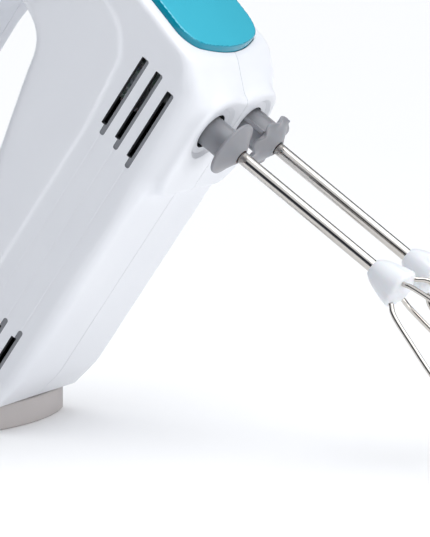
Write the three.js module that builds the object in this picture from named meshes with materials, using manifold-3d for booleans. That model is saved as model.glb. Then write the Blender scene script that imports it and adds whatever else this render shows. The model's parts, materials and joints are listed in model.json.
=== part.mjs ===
import * as THREE from 'three';
import { mergeVertices } from 'three/addons/utils/BufferGeometryUtils.js';
import Module from 'manifold-3d';

const wasm = await Module();
wasm.setup();

// A hand mixer standing on its heel with its two beaters reaching down to the table.
// Everything but the foot is drawn in the body frame: x runs forward along the body, y to the
// mixer's left, z up towards the handle, and the beaters turn about z at x = 0.

// Driving dimensions, in millimetres and degrees.
const clearance = 0.3;
const beaterSpacing = 34.6;
const sideHalf = 39.6;
const panelProud = 1.6;
const wall = 2.8;
const edgeRound = 5;
const bellyLevel = 17;
const handleTop = 151;
const tailEnd = -184;
const openingTop = 124;
const openingRear = -136;
const openingFront = -3;
const gripHalf = 18;
const footHeight = 11.2;
const footLength = 48;
const footWidth = 68;
const cowlLevel = 11.5;
const cowlHeight = 7;
const cowlFront = 17;
const cowlRear = -34;
const cowlFlange = 17;
const socketRadius = 8.5;
const socketRim = 3;
const socketSink = 1.2;
const collarTop = 20.5;
const collarLip = 1.4;
const collarBarrel = 7;
const collarDisc = 12.65;
const stemRadius = 2.8;
const stemTop = 47.5;
const hubTop = -79;
const hubLength = 17;
const hubRadius = 9.1;
const wireRadius = 1.1;
const cageRadius = 23.5;
const cageWidest = -166;
const cageTip = -209;
const tipGap = 0.4703;
const heelDepth = 13.689;
const heelBehind = 9.029;
const motorLevel = 48;
const shaftRadius = 2.5;
const wheelTeeth = 22;
const wormStarts = 2;
const wheelRadius = 13.3;
const wheelFace = 8;
const spindleRadius = 5;
const stackLength = 26;
const stackMiddle = -66;
const armatureRadius = 14.5;
const fanRadius = 21;
const fanMiddle = -31;
const ejectTravel = 6;
const ejectAt = 8;
const buttonLength = 18;
const buttonWidth = 16;
const buttonSeat = 20;
const rodWidth = 6;
const rodDepth = 5;
const ribLevel = 95;
const ribThickness = 2.5;
const springRadius = 4.6;
const springWire = 0.45;
const springLength = 12.6;
const slotWidth = 2.4;
const ventLevels = [28.2, 37, 45.6];
const plateProud = 2.6;
const plateSeat = 1.2;
const plateHalf = 32.4;
const plateLow = 25.4;
const plateRise = 11;
const glandLevel = 78;
const glandRadius = 6;
const knobTravel = 24;
const knobRest = -56;
const knobLength = 20;
const knobWidth = 16;
const knobHeight = 6;
const neckLength = 8;
const neckWidth = 4.8;
const boardHeight = 52;
const boardThickness = 1.6;
const gripMiddle = (openingTop + handleTop) / 2;
const screwAt = [[-42, 24.4], [-140, 30], [-160, 100], [-92, gripMiddle], [24, 98]];
const rightPhase = 41;
const leftPhase = 4;

const half = beaterSpacing / 2;
const panelHalf = sideHalf + panelProud;
const radians = THREE.MathUtils.degToRad;

// ---- Colours and surfaces -------------------------------------------------------------------

function surface(color, roughness, metalness) {
  return new THREE.MeshStandardMaterial({ color, roughness, metalness });
}

const whitePlastic = surface(0xeef0f3, 0.35, 0);
const tealPlastic = surface(0x22afc8, 0.12, 0);
const footPlastic = surface(0xb9b3b1, 0.55, 0);
const greyPlastic = surface(0x8f9095, 0.5, 0);
const blackPlastic = surface(0x26272a, 0.5, 0);
const nylon = surface(0xe9ebee, 0.4, 0);
const steel = surface(0xb9b8b4, 0.2, 1);
const darkSteel = surface(0x6d6f72, 0.45, 1);
const copper = surface(0xb0663a, 0.35, 1);
const bronze = surface(0xa67b4a, 0.4, 1);
const carbon = surface(0x2c2a29, 0.8, 0);
const boardGreen = surface(0x1f6b45, 0.5, 0);
const capacitorYellow = surface(0xc59a2c, 0.4, 0);

// ---- Solids ---------------------------------------------------------------------------------

// Turns a closed geometry into a solid with its faces pointing out.
function solid(geometry) {
  const bare = geometry.clone();
  bare.deleteAttribute('normal');
  bare.deleteAttribute('uv');
  const merged = mergeVertices(bare, 1e-4);
  const position = merged.attributes.position;
  const index = merged.index.array;
  const corner = [new THREE.Vector3(), new THREE.Vector3(), new THREE.Vector3()];
  const kept = [];
  let volume = 0;
  for (let i = 0; i < index.length; i += 3) {
    const [a, b, c] = [index[i], index[i + 1], index[i + 2]];
    if (a === b || b === c || c === a) continue;
    corner.forEach((point, k) => point.fromBufferAttribute(position, index[i + k]));
    volume += corner[0].dot(corner[1].clone().cross(corner[2]));
    kept.push(a, b, c);
  }
  if (volume < 0) kept.reverse();
  const mesh = new wasm.Mesh({
    numProp: 3,
    vertProperties: Float32Array.from(position.array),
    triVerts: Uint32Array.from(kept),
  });
  return new wasm.Manifold(mesh);
}

function geometryOf(manifold) {
  const mesh = manifold.getMesh();
  const geometry = new THREE.BufferGeometry();
  geometry.setAttribute('position', new THREE.BufferAttribute(mesh.vertProperties, 3));
  geometry.setIndex(new THREE.BufferAttribute(mesh.triVerts, 1));
  geometry.computeVertexNormals();
  return geometry;
}

function join(first, ...others) {
  return geometryOf(others.reduce((sum, other) => sum.add(solid(other)), solid(first)));
}

function cut(first, ...tools) {
  return geometryOf(tools.reduce((rest, tool) => rest.subtract(solid(tool)), solid(first)));
}

function common(first, second) {
  return geometryOf(solid(first).intersect(solid(second)));
}

function moved(geometry, x, y, z) {
  return geometry.clone().translate(x, y, z);
}

function box(x0, x1, y0, y1, z0, z1) {
  const geometry = new THREE.BoxGeometry(x1 - x0, y1 - y0, z1 - z0);
  return geometry.translate((x0 + x1) / 2, (y0 + y1) / 2, (z0 + z1) / 2);
}

// A round bar along z between two heights.
function rod(radius, low, high, sides = 24) {
  const geometry = new THREE.CylinderGeometry(radius, radius, high - low, sides);
  return geometry.rotateX(Math.PI / 2).translate(0, 0, (low + high) / 2);
}

// A turned piece about z from a list of [radius, height] pairs that starts and ends on the axis.
function turned(profile, sides = 24) {
  const points = profile.map(([radius, height]) => new THREE.Vector2(radius, height));
  return new THREE.LatheGeometry(points, sides).rotateX(Math.PI / 2);
}

// Points something drawn along z forward along x, or sideways along y.
function alongX(geometry) {
  const turn = new THREE.Matrix4().makeBasis(
    new THREE.Vector3(0, 1, 0), new THREE.Vector3(0, 0, 1), new THREE.Vector3(1, 0, 0));
  return geometry.clone().applyMatrix4(turn);
}

function alongY(geometry) {
  return geometry.clone().rotateX(-Math.PI / 2);
}

// A closed outline through corner points [u, v, radius] with an arc at each corner.
function outline(corners, Kind = THREE.Shape) {
  const shape = new Kind();
  corners.forEach(([u, v, radius], i) => {
    const here = new THREE.Vector2(u, v);
    const before = corners[(i + corners.length - 1) % corners.length];
    const after = corners[(i + 1) % corners.length];
    const back = new THREE.Vector2(before[0], before[1]).sub(here).normalize();
    const on = new THREE.Vector2(after[0], after[1]).sub(here).normalize();
    const opening = Math.acos(THREE.MathUtils.clamp(back.dot(on), -1, 1));
    const centre = back.clone().add(on).normalize().multiplyScalar(radius / Math.sin(opening / 2));
    centre.add(here);
    const reach = radius / Math.tan(opening / 2);
    const start = here.clone().addScaledVector(back, reach).sub(centre);
    const end = here.clone().addScaledVector(on, reach).sub(centre);
    const clockwise = back.cross(on) > 0;
    shape.absarc(centre.x, centre.y, radius, start.angle(), end.angle(), clockwise);
  });
  return shape;
}

function roundedRectangle(u0, u1, v0, v1, radius) {
  return outline([[u0, v0, radius], [u1, v0, radius], [u1, v1, radius], [u0, v1, radius]]);
}

function prism(shape, low, high, curveSegments = 4) {
  const options = { depth: high - low, bevelEnabled: false, curveSegments };
  return new THREE.ExtrudeGeometry(shape, options).translate(0, 0, low);
}

// A plate in the x-z plane, thick along y between two values, with its edges rounded.
function slab(shape, y0, y1, round, inset = 0, curveSegments = 4) {
  const geometry = new THREE.ExtrudeGeometry(shape, {
    depth: y1 - y0 - 2 * round,
    bevelEnabled: round > 0,
    bevelThickness: round,
    bevelSize: round,
    bevelOffset: -round - inset,
    bevelSegments: round > 4 ? 2 : 1,
    curveSegments,
  });
  return geometry.rotateX(Math.PI / 2).translate(0, y1 - round, 0);
}

// A tube along a curve, with flat ends.
function tube(curve, radius, steps, sides = 8) {
  const ring = [];
  for (let i = 0; i < sides; i += 1) {
    const angle = (2 * Math.PI * i) / sides;
    ring.push(new THREE.Vector2(radius * Math.cos(angle), radius * Math.sin(angle)));
  }
  const options = { steps, extrudePath: curve, bevelEnabled: false };
  return new THREE.ExtrudeGeometry(new THREE.Shape(ring), options);
}

// Turns each layer of a piece about z in proportion to its height.
function twisted(geometry, turnPerLength) {
  const position = geometry.attributes.position;
  const point = new THREE.Vector3();
  const axis = new THREE.Vector3(0, 0, 1);
  for (let i = 0; i < position.count; i += 1) {
    point.fromBufferAttribute(position, i);
    point.applyAxisAngle(axis, turnPerLength * point.z);
    position.setXYZ(i, point.x, point.y, point.z);
  }
  return geometry;
}

// ---- Groups and pieces ----------------------------------------------------------------------

const hubShoulder = hubTop - hubLength;

// One side of a wire loop from the hub to the tip and back up the other side, turned by an angle.
function wireCurve(angle, tip) {
  const side = [
    [6.8, hubShoulder + 3.2], [7.6, hubShoulder + 0.4], [10.2, hubShoulder - 3],
    [15.4, hubShoulder - 18], [21.4, hubShoulder - 40], [cageRadius, cageWidest],
    [cageRadius - 3.2, cageWidest - 22], [cageRadius - 11, cageWidest - 36.5],
  ];
  const points = side.map(([radius, level]) => new THREE.Vector3(radius, 0, level));
  points.push(new THREE.Vector3(0, 0, tip));
  [...side].reverse().forEach(([radius, level]) => points.push(new THREE.Vector3(-radius, 0, level)));
  const axis = new THREE.Vector3(0, 0, 1);
  points.forEach((point) => point.applyAxisAngle(axis, angle));
  return new THREE.CatmullRomCurve3(points, false, 'centripetal');
}

// Height of the body's origin that leaves the left beater's wires just clear of the table.
function heightFor(pitch) {
  const heights = [0, 90].flatMap((turn) => wireCurve(radians(leftPhase + turn), cageTip).getPoints(200))
    .map((point) => point.x * Math.sin(pitch) + point.z * Math.cos(pitch));
  return tipGap + wireRadius - Math.min(...heights);
}

// The mixer leans so far that the lower corner of its tail, if it weren't cut off for the foot,
// would reach heelDepth below the table while the beaters just clear it.
function leaningPitch() {
  let low = radians(20);
  let high = radians(85);
  for (let i = 0; i < 40; i += 1) {
    const pitch = (low + high) / 2;
    const corner = tailEnd * Math.sin(pitch) + bellyLevel * Math.cos(pitch) + heightFor(pitch);
    if (corner > -heelDepth) low = pitch;
    else high = pitch;
  }
  return low;
}

const bodyPitch = leaningPitch();
const restHeight = heightFor(bodyPitch);
const footMiddle = tailEnd * Math.cos(bodyPitch) - bellyLevel * Math.sin(bodyPitch) - heelBehind;

const mixer = new THREE.Group();
const body = new THREE.Group();
body.rotation.y = -bodyPitch;
body.position.set(-footMiddle, 0, restHeight);
mixer.add(body);

function addPiece(parent, name, geometry, material) {
  const mesh = new THREE.Mesh(geometryOf(solid(geometry)), material);
  mesh.name = name;
  parent.add(mesh);
  return mesh;
}

// Moves something drawn in the level frame of the table into the body frame.
function toBody(geometry) {
  return geometry.clone().translate(footMiddle, 0, -restHeight).rotateY(bodyPitch);
}

// ---- Housing --------------------------------------------------------------------------------

const sideCorners = [
  [17.5, bellyLevel, 10],
  [27.6, 27.5, 14],
  [39.8, 80, 30],
  [26, 130, 24],
  [-10, handleTop, 24],
  [tailEnd + 24, handleTop, 26],
  [tailEnd, 100, 30],
  [tailEnd, 26, 8],
  [-140, bellyLevel, 40],
];
const openingCorners = [
  [openingFront, 95, 20],
  [openingFront, openingTop, 12],
  [openingRear, openingTop, 16],
  [openingRear, 76, 18],
  [-90, 75, 40],
];

function sideShape(withOpening) {
  const shape = outline(sideCorners);
  if (withOpening) shape.holes.push(outline(openingCorners, THREE.Path));
  return shape;
}

// The front view narrows above the shoulders towards the grip.
function frontView(inset) {
  const widest = panelHalf + 1 - inset;
  const grip = gripHalf + 1.5 - inset;
  const top = handleTop + 0.5 - inset;
  const corners = [
    [-widest, 0, 1], [widest, 0, 1], [widest, 102, 26], [grip, top, 10], [-grip, top, 10],
    [-widest, 102, 26],
  ];
  return alongX(prism(outline(corners), tailEnd - 10, 60, 3));
}

// Room cut from both sides of the grip, between the front column and the tail.
function gripRelief(side, inset) {
  const inner = gripHalf - inset;
  const corners = [
    [-126 - inset, inner, 14], [-24 + inset, inner, 14], [-2 + inset, 60, 4], [-148 - inset, 60, 4],
  ];
  const relief = prism(outline(corners), 100 - inset, handleTop + 20);
  return side > 0 ? relief : relief.scale(1, -1, 1);
}

function envelope(halfWidth, round, inset) {
  return slab(sideShape(true), inset - halfWidth, halfWidth - inset, round, inset, 3);
}

// The vented lower part of each side lies behind a bevelled step below the upper part.
function lowerSide(side) {
  const below = outline([
    [-230, 53.3, 4], [-230, -20, 4], [90, -20, 4], [90, 150, 10], [62, 150, 10], [30, 92, 40],
    [19, 64, 20], [8, 56.5, 12], [-24, 53.3, 60],
  ]);
  const room = slab(below, sideHalf, sideHalf + 20, panelProud, 0, 3);
  return side > 0 ? room : room.scale(1, -1, 1);
}

// The sockets stand in a low cowl under the nose.
function cowl() {
  const reach = half + cowlFlange;
  const bevel = 1.5;
  const corners = [
    [cowlRear, -reach, 14], [cowlFront, -reach, 15], [cowlFront, reach, 15], [cowlRear, reach, 14],
  ];
  const geometry = new THREE.ExtrudeGeometry(outline(corners), {
    depth: cowlHeight - 2 * bevel,
    bevelEnabled: true,
    bevelThickness: bevel,
    bevelSize: 2,
    bevelOffset: -2,
    bevelSegments: 2,
    curveSegments: 5,
  });
  return geometry.translate(0, 0, cowlLevel + bevel);
}

function slot(x0, x1, level, side, innerY, outerY) {
  const shape = roundedRectangle(x0, x1, level - slotWidth / 2, level + slotWidth / 2, 1.1);
  const ends = [side * innerY, side * outerY];
  return slab(shape, Math.min(...ends), Math.max(...ends), 0, 0, 1);
}

const frontSlots = [[-28.6, 9.9], [-25.6, 13.6], [-24.4, 14.7]];

function ventTools(side) {
  const tools = [];
  ventLevels.forEach((level, i) => {
    const [rear, front] = frontSlots[i];
    tools.push(slot(rear, front, level, side, sideHalf - wall - 2, sideHalf + 3));
    tools.push(slot(-150, -118, level, side, sideHalf - wall - 2, sideHalf + 3));
    tools.push(slot(-119, rear + 1, level, side, sideHalf - 0.8, sideHalf + 3));
  });
  return tools;
}

// The front plate lies in a pocket that follows the nose and the top of the handle.
function plateRegion(gap) {
  const wide = plateHalf + gap;
  const low = plateLow - gap;
  const slim = gripHalf - 4 + gap;
  const top = handleTop + 19;
  const neck = handleTop - 17;
  const front = outline([
    [-wide, low + plateRise, 13], [0, low, 70], [wide, low + plateRise, 13], [wide, 92, 20],
    [slim, neck, 20], [slim, top, 2], [-slim, top, 2], [-slim, neck, 20], [-wide, 92, 20],
  ]);
  const ridge = roundedRectangle(-70 - gap, 60, -slim, slim, 10);
  const face = alongX(prism(front, 2, 70, 8));
  return join(face, prism(ridge, handleTop - 15, top, 8));
}

function noseLayer(inner, outer, gap) {
  const big = slab(sideShape(false), -sideHalf - 20, sideHalf + 20, 1, -outer, 4);
  const small = slab(sideShape(false), -sideHalf - 30, sideHalf + 30, 1, -inner, 4);
  return common(cut(big, small), plateRegion(gap));
}

const knobSlot = [knobRest - neckLength / 2 - 1, knobRest + knobTravel + neckLength / 2 + 1];
const buttonLow = handleTop - buttonSeat;

function buttonShape(gap, low, proud) {
  const slope = (handleTop - 130) / 36;
  const rear = ejectAt - buttonLength / 2 - gap;
  const front = ejectAt + buttonLength / 2 + gap;
  const level = (x) => handleTop - slope * (x + 10) + proud;
  return outline([[rear, low, 2], [front, low, 2], [front, level(front), 3], [rear, level(rear), 3]]);
}

function controlTools() {
  const room = neckWidth / 2 + 2 * clearance;
  const across = buttonWidth / 2 + clearance;
  const opening = roundedRectangle(knobSlot[0], knobSlot[1], -room, room, 2);
  const neck = prism(opening, handleTop - 11, handleTop + 10);
  const button = slab(buttonShape(clearance, buttonLow - 11, 20), -across, across, 0);
  return [neck, button];
}

function bossTools(side) {
  const round = [];
  const bores = [];
  screwAt.forEach(([x, z]) => {
    round.push(moved(alongY(rod(3.6, 0, sideHalf, 12)), x, 0, z));
    if (side > 0) {
      bores.push(moved(alongY(rod(1.9, -1, 20, 8)), x, 0, z));
      bores.push(moved(alongY(rod(3.4, 10, sideHalf + 10, 12)), x, 0, z));
    } else {
      bores.push(moved(alongY(rod(1.9, -1, 13, 8)), x, 0, z));
    }
  });
  return { round, bores };
}

// Half ribs that guide the eject rod and carry its spring.
function guideRib() {
  return box(openingFront - 1, 30, 0, sideHalf, ribLevel, ribLevel + ribThickness);
}

function shellHalf(side) {
  const gapHalf = clearance / 2;
  const nearPlane = side > 0 ? gapHalf : -200;
  const keep = box(-400, 200, nearPlane, nearPlane + 200 - gapHalf, -100, 400);
  const mirrored = (geometry) => (side > 0 ? geometry : geometry.clone().scale(1, -1, 1));
  let outer = common(envelope(panelHalf, edgeRound + panelProud, 0), frontView(0));
  outer = cut(outer, lowerSide(1), lowerSide(-1), gripRelief(1, 0), gripRelief(-1, 0));
  outer = join(outer, cowl());
  let cavity = common(envelope(sideHalf, 2.4, wall), frontView(wall));
  cavity = cut(cavity, gripRelief(1, wall), gripRelief(-1, wall));
  const floor = footHeight + clearance;
  const below = (level) => toBody(box(-400, 400, -200, 200, -300, level));
  cavity = cut(cavity, below(floor + wall));
  const { round, bores } = bossTools(side);
  const inside = common(envelope(sideHalf, 3, wall / 2), frontView(wall / 2));
  const fitted = cut(inside, gripRelief(1, wall / 2), gripRelief(-1, wall / 2));
  const keptSide = common(fitted, keep);
  let shell = common(cut(outer, cavity), keep);
  round.forEach((boss) => {
    shell = join(shell, common(mirrored(boss), keptSide));
  });
  shell = join(shell, common(mirrored(guideRib()), keptSide));
  const sockets = [];
  const socket = (radius, top) => moved(rod(radius, 0, top, 24), 0, side * half, 0);
  sockets.push(socket(socketRadius, bellyLevel + 13));
  sockets.push(socket(socketRadius + socketRim, cowlLevel + socketSink));
  const room = rodWidth / 2 + clearance;
  const guide = box(ejectAt - room, ejectAt + room, -rodDepth / 2 - clearance, rodDepth / 2 + clearance,
    ribLevel - 5, ribLevel + ribThickness + 2);
  const gland = alongX(rod(glandRadius + clearance, tailEnd - 5, tailEnd + 10, 16));
  const tools = [...bores.map(mirrored), ...ventTools(side), ...controlTools(), ...sockets, guide];
  tools.push(moved(gland, 0, 0, glandLevel));
  tools.push(noseLayer(-plateSeat - clearance, plateProud + 5, clearance));
  tools.push(below(floor));
  return cut(shell, ...tools);
}

addPiece(body, 'right_housing', shellHalf(-1), whitePlastic);
addPiece(body, 'left_housing', shellHalf(1), whitePlastic);
addPiece(body, 'front_plate', cut(noseLayer(-plateSeat, plateProud, 0), ...controlTools()), tealPlastic);

function housingScrew() {
  const profile = [[0, 12 + 2.3], [2.9, 12 + 2.3], [2.9, 10.3], [1.5, 10.3], [1.5, -11], [0, -12.3]];
  return alongY(turned(profile, 12));
}

screwAt.forEach(([x, z], i) => {
  addPiece(body, `housing_screw_${i + 1}`, moved(housingScrew(), x, 0, z), darkSteel);
});

function cordGland() {
  const rim = glandRadius + 3;
  const profile = [[0, 3], [rim, 3], [rim, 0], [glandRadius, 0], [glandRadius, -6], [0, -6]];
  const flange = turned(profile, 24);
  const bore = rod(3.4, -10, 10, 16);
  return alongX(cut(flange, bore).rotateY(Math.PI));
}

addPiece(body, 'cord_gland', moved(cordGland(), tailEnd - clearance, 0, glandLevel), greyPlastic);

// ---- Foot -----------------------------------------------------------------------------------

function footPlan() {
  const front = footLength / 2;
  const side = footWidth / 2;
  const shape = new THREE.Shape();
  shape.moveTo(-front, -side + 9);
  shape.quadraticCurveTo(-front, -side, -front + 9, -side);
  shape.lineTo(front - 7, -side);
  shape.quadraticCurveTo(front + 6, 0, front - 7, side);
  shape.lineTo(-front + 9, side);
  shape.quadraticCurveTo(-front, side, -front, side - 9);
  return shape;
}

addPiece(mixer, 'heel_foot', prism(footPlan(), 0, footHeight, 10), footPlastic);

// ---- Beaters --------------------------------------------------------------------------------

const stemBore = stemRadius + clearance;

function smoothCollar() {
  const foot = stemBore + 0.5;
  const profile = [
    [0, collarTop], [collarBarrel - 0.6, collarTop], [collarBarrel, collarTop - 0.6],
    [collarBarrel, collarLip], [collarDisc - 0.5, collarLip], [collarDisc, collarLip / 2],
    [collarDisc, 0], [foot, -4.8], [0, -4.8],
  ];
  return cut(turned(profile, 24), rod(stemBore, -20, 40, 12));
}

// The left collar has folds in its rim and ribs on its barrel, so it fits only its own socket.
function ribbedCollar() {
  const folds = 8;
  let collar = solid(smoothCollar());
  for (let i = 0; i < folds; i += 1) {
    const angle = (2 * Math.PI * i) / folds;
    const notch = box(-2, 2, -2, 2, -6, 6).rotateZ(Math.PI / 4).rotateX(0.35);
    notch.translate(0, collarDisc + 1.4, 0).rotateZ(angle);
    collar = collar.subtract(solid(notch));
  }
  for (let i = 0; i < 4; i += 1) {
    const rib = box(collarBarrel - 1, collarBarrel + 0.9, -0.9, 0.9, collarLip - 0.4, collarTop - 1.5);
    collar = collar.add(solid(rib.rotateZ((Math.PI * i) / 2 + 0.5)));
  }
  return geometryOf(collar);
}

function hub(angles) {
  const low = hubShoulder;
  const neck = stemRadius + 1.2;
  const profile = [
    [0, hubTop], [neck, hubTop], [neck + 0.6, hubTop - 0.8], [6.5, hubTop - 4.5], [hubRadius, hubTop - 13.6],
    [hubRadius, low + 2.2], [7.4, low + 0.8], [4, low - 0.8], [0, low - 1.4],
  ];
  let shape = solid(turned(profile, 20)).subtract(solid(rod(stemBore, hubTop - 12.5, 0, 12)));
  angles.forEach((angle) => {
    shape = shape.subtract(solid(tube(wireCurve(angle, cageTip), wireRadius + clearance, 36)));
  });
  return geometryOf(shape);
}

// The second loop of each beater passes inside the first at the tip.
function addBeater(name, side, phase) {
  const beater = new THREE.Group();
  beater.position.set(0, side * half, 0);
  body.add(beater);
  const angles = [radians(phase), radians(phase + 90)];
  const innerTip = cageTip + 2 * wireRadius + clearance;
  addPiece(beater, `${name}_collar`, side > 0 ? ribbedCollar() : smoothCollar(), greyPlastic);
  addPiece(beater, `${name}_stem`, rod(stemRadius, hubTop - 12, stemTop, 20), steel);
  addPiece(beater, `${name}_hub`, hub(angles), nylon);
  addPiece(beater, `${name}_outer_loop`, tube(wireCurve(angles[0], cageTip), wireRadius, 36), steel);
  addPiece(beater, `${name}_inner_loop`, tube(wireCurve(angles[1], innerTip), wireRadius, 36), steel);
}

addBeater('right_beater', -1, rightPhase);
addBeater('left_beater', 1, leftPhase);

// ---- Gearbox --------------------------------------------------------------------------------

const wormRadius = half - wheelRadius;
const gearModule = (2 * wheelRadius) / wheelTeeth;
const addendum = 0.8 * gearModule;
const lead = Math.PI * gearModule * wormStarts;
const spindleLow = collarTop + 1;
const spindleHigh = motorLevel + 14;

// One tooth is a trapezoid whose width is given as shares of the pitch at its tip and root.
function toothed(count, tipRadius, rootRadius, tipShare, rootShare, arcPoints) {
  const points = [];
  const pitch = (2 * Math.PI) / count;
  const place = (radius, angle) => points.push(
    new THREE.Vector2(radius * Math.cos(angle), radius * Math.sin(angle)));
  for (let i = 0; i < count; i += 1) {
    const middle = pitch * i;
    for (let k = 0; k <= arcPoints; k += 1) {
      place(tipRadius, middle + pitch * tipShare * (k / arcPoints - 0.5));
    }
    for (let k = 0; k <= arcPoints; k += 1) {
      const share = rootShare + (1 - 2 * rootShare) * (k / arcPoints);
      place(rootRadius, middle + pitch * share);
    }
  }
  return new THREE.Shape(points);
}

function wormWheel() {
  const root = wheelRadius - 1.4 * addendum;
  const shape = toothed(wheelTeeth, wheelRadius + addendum, root, 0.24, 0.29, 1);
  const options = { depth: wheelFace, bevelEnabled: false, steps: 2 };
  const blank = new THREE.ExtrudeGeometry(shape, options).translate(0, 0, -wheelFace / 2);
  const slope = lead / (2 * Math.PI * wormRadius);
  const geometry = twisted(blank.rotateZ(Math.PI / 2), slope / wheelRadius);
  return cut(geometry, rod(spindleRadius + clearance, -20, 20, 20));
}

function motorShaft() {
  const length = 26;
  const overlap = 0.5;
  const shape = toothed(wormStarts, wormRadius + addendum, shaftRadius, 0.24, 0.29, 2);
  const options = { depth: length, bevelEnabled: false, steps: 24 };
  const thread = new THREE.ExtrudeGeometry(shape, options).translate(0, 0, -length / 2);
  twisted(thread.rotateZ(wormPhase), (2 * Math.PI) / lead);
  const tail = rod(shaftRadius, rearBearing - 5, overlap - length / 2, 16);
  const nose = rod(shaftRadius, length / 2 - overlap, noseBearing[1] + 1, 16);
  return alongX(join(thread, tail, nose));
}

const wormPhase = Math.PI / 2;
const rearBearing = -112;
const frontBearing = -20.5;
const noseBearing = [15, 19.5];
const bearingRadius = shaftRadius + 2.5;
const pinHead = spindleHigh + 8;
const pinCrown = pinHead + 0.6;
const bushingWall = 1.8;

function spindle() {
  const profile = [
    [0, spindleLow], [spindleRadius, spindleLow], [spindleRadius, spindleHigh], [0, spindleHigh],
  ];
  return cut(turned(profile, 20), rod(stemBore, 0, 100, 16));
}

function bushing(low, high) {
  const bore = spindleRadius + clearance;
  const ring = join(rod(bore + bushingWall, low, high, 16), rod(bore + 3, high - 1.2, high, 16));
  return cut(ring, rod(bore, 0, 100, 16));
}

function pushPin() {
  return turned([
    [0, stemTop + clearance], [stemRadius, stemTop + clearance], [stemRadius, pinHead - 1.5],
    [stemRadius + 1.8, pinHead - 1.5], [stemRadius + 1.8, pinHead], [0, pinCrown],
  ], 16);
}

const lowerPlate = [24.5, 28];
const upperPlate = [spindleHigh - 5, spindleHigh - 2];

[['right', -1], ['left', 1]].forEach(([name, side]) => {
  const place = (geometry) => moved(geometry, 0, side * half, 0);
  addPiece(body, `${name}_spindle`, place(spindle()), steel);
  addPiece(body, `${name}_worm_wheel`, moved(wormWheel(), 0, side * half, motorLevel), nylon);
  addPiece(body, `${name}_push_pin`, place(pushPin()), nylon);
  const lower = bushing(lowerPlate[0] - 1, lowerPlate[1] + clearance + 1.2);
  const upper = bushing(upperPlate[0] - 1, upperPlate[1] + clearance + 1.2);
  addPiece(body, `${name}_lower_bushing`, place(lower), bronze);
  addPiece(body, `${name}_upper_bushing`, place(upper), bronze);
});

addPiece(body, 'motor_shaft', moved(motorShaft(), 0, 0, motorLevel), steel);

// Two plates on four pillars hold the spindles, and two walls hold the motor shaft.
function gearboxFrame() {
  const across = sideHalf - wall - 2.8;
  const rear = frontBearing - 3.5;
  const front = noseBearing[1] + 0.5;
  const plate = roundedRectangle(rear, front, -across, across, 5);
  let frame = solid(join(prism(plate, ...lowerPlate, 2), prism(plate, ...upperPlate, 2)));
  [rear + 3.5, front - 3.5].forEach((x) => {
    [-across + 4.5, across - 4.5].forEach((y) => {
      frame = frame.add(solid(moved(rod(3, lowerPlate[0], upperPlate[1], 12), x, y, 0)));
    });
  });
  const walls = [
    [frontBearing - 2, frontBearing + 2], [noseBearing[0] + 0.5, noseBearing[1] - 0.5],
  ];
  walls.forEach(([x0, x1]) => {
    frame = frame.add(solid(box(x0, x1, -10, 10, lowerPlate[0], upperPlate[1])));
  });
  const bearingBore = rod(bearingRadius + clearance, -50, 50, 20);
  frame = frame.subtract(solid(moved(alongX(bearingBore), 0, 0, motorLevel)));
  const bushingBore = rod(spindleRadius + 2 * clearance + bushingWall, 0, 100, 16);
  [-half, half].forEach((y) => {
    frame = frame.subtract(solid(moved(bushingBore, 0, y, 0)));
  });
  return geometryOf(frame);
}

addPiece(body, 'gearbox_frame', gearboxFrame(), blackPlastic);

function shaftBearing(rear, front) {
  const ring = cut(rod(bearingRadius, rear, front, 20), rod(shaftRadius + clearance, -200, 200, 16));
  return moved(alongX(ring), 0, 0, motorLevel);
}

addPiece(body, 'nose_bearing', shaftBearing(...noseBearing), bronze);
addPiece(body, 'front_bearing', shaftBearing(frontBearing - 2.5, frontBearing + 2.5), bronze);
addPiece(body, 'rear_bearing', shaftBearing(rearBearing - 3, rearBearing + 3), bronze);

// ---- Motor ----------------------------------------------------------------------------------

const poleRadius = armatureRadius + 0.6;
const coreHalfHeight = 22;
const coreHalfWidth = 27;
const coreRim = 4.5;
const shoeThickness = 2.2;
const poleNeck = 9;
const coilDepth = 5;
const coilWidth = 6;

function onMotor(geometry) {
  return moved(alongX(geometry), stackMiddle, 0, motorLevel);
}

// The section of the field core: a frame with a pole shoe on each side of the armature.
function statorCore() {
  const low = -stackLength / 2;
  const high = stackLength / 2;
  const frame = prism(roundedRectangle(
    -coreHalfWidth, coreHalfWidth, -coreHalfHeight, coreHalfHeight, 6), low, high);
  const window = prism(roundedRectangle(
    -coreHalfWidth + coreRim, coreHalfWidth - coreRim, -coreHalfHeight + coreRim,
    coreHalfHeight - coreRim, 2), low - 1, high + 1);
  const ring = rod(poleRadius + shoeThickness, low, high, 32);
  const shoes = common(ring, box(-40, 40, -12, 12, low, high));
  const necks = box(-coreHalfWidth + 2, coreHalfWidth - 2, -poleNeck, poleNeck, low, high);
  const iron = join(cut(frame, window), shoes, necks);
  return onMotor(cut(iron, rod(poleRadius, low - 1, high + 1, 32)));
}

// Each field coil is a ring wound round one pole neck.
function fieldCoil(side) {
  const high = poleNeck + clearance;
  const long = stackLength / 2 + clearance;
  const top = high + coilWidth;
  const ring = roundedRectangle(-long - coilDepth, long + coilDepth, -top, top, 4);
  ring.holes.push(roundedRectangle(-long, long, -high, high, 1));
  const inner = poleRadius + shoeThickness + clearance;
  const outer = coreHalfWidth - coreRim - clearance;
  const y0 = side > 0 ? inner : -outer;
  const y1 = side > 0 ? outer : -inner;
  return moved(slab(ring, y0, y1, 0, 0, 2), stackMiddle, 0, motorLevel);
}

function armatureCore() {
  const shape = toothed(12, armatureRadius, armatureRadius - 3.5, 0.8, 0.36, 1);
  const core = prism(shape, -stackLength / 2, stackLength / 2);
  return onMotor(cut(core, rod(shaftRadius + clearance, -50, 50, 16)));
}

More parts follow.
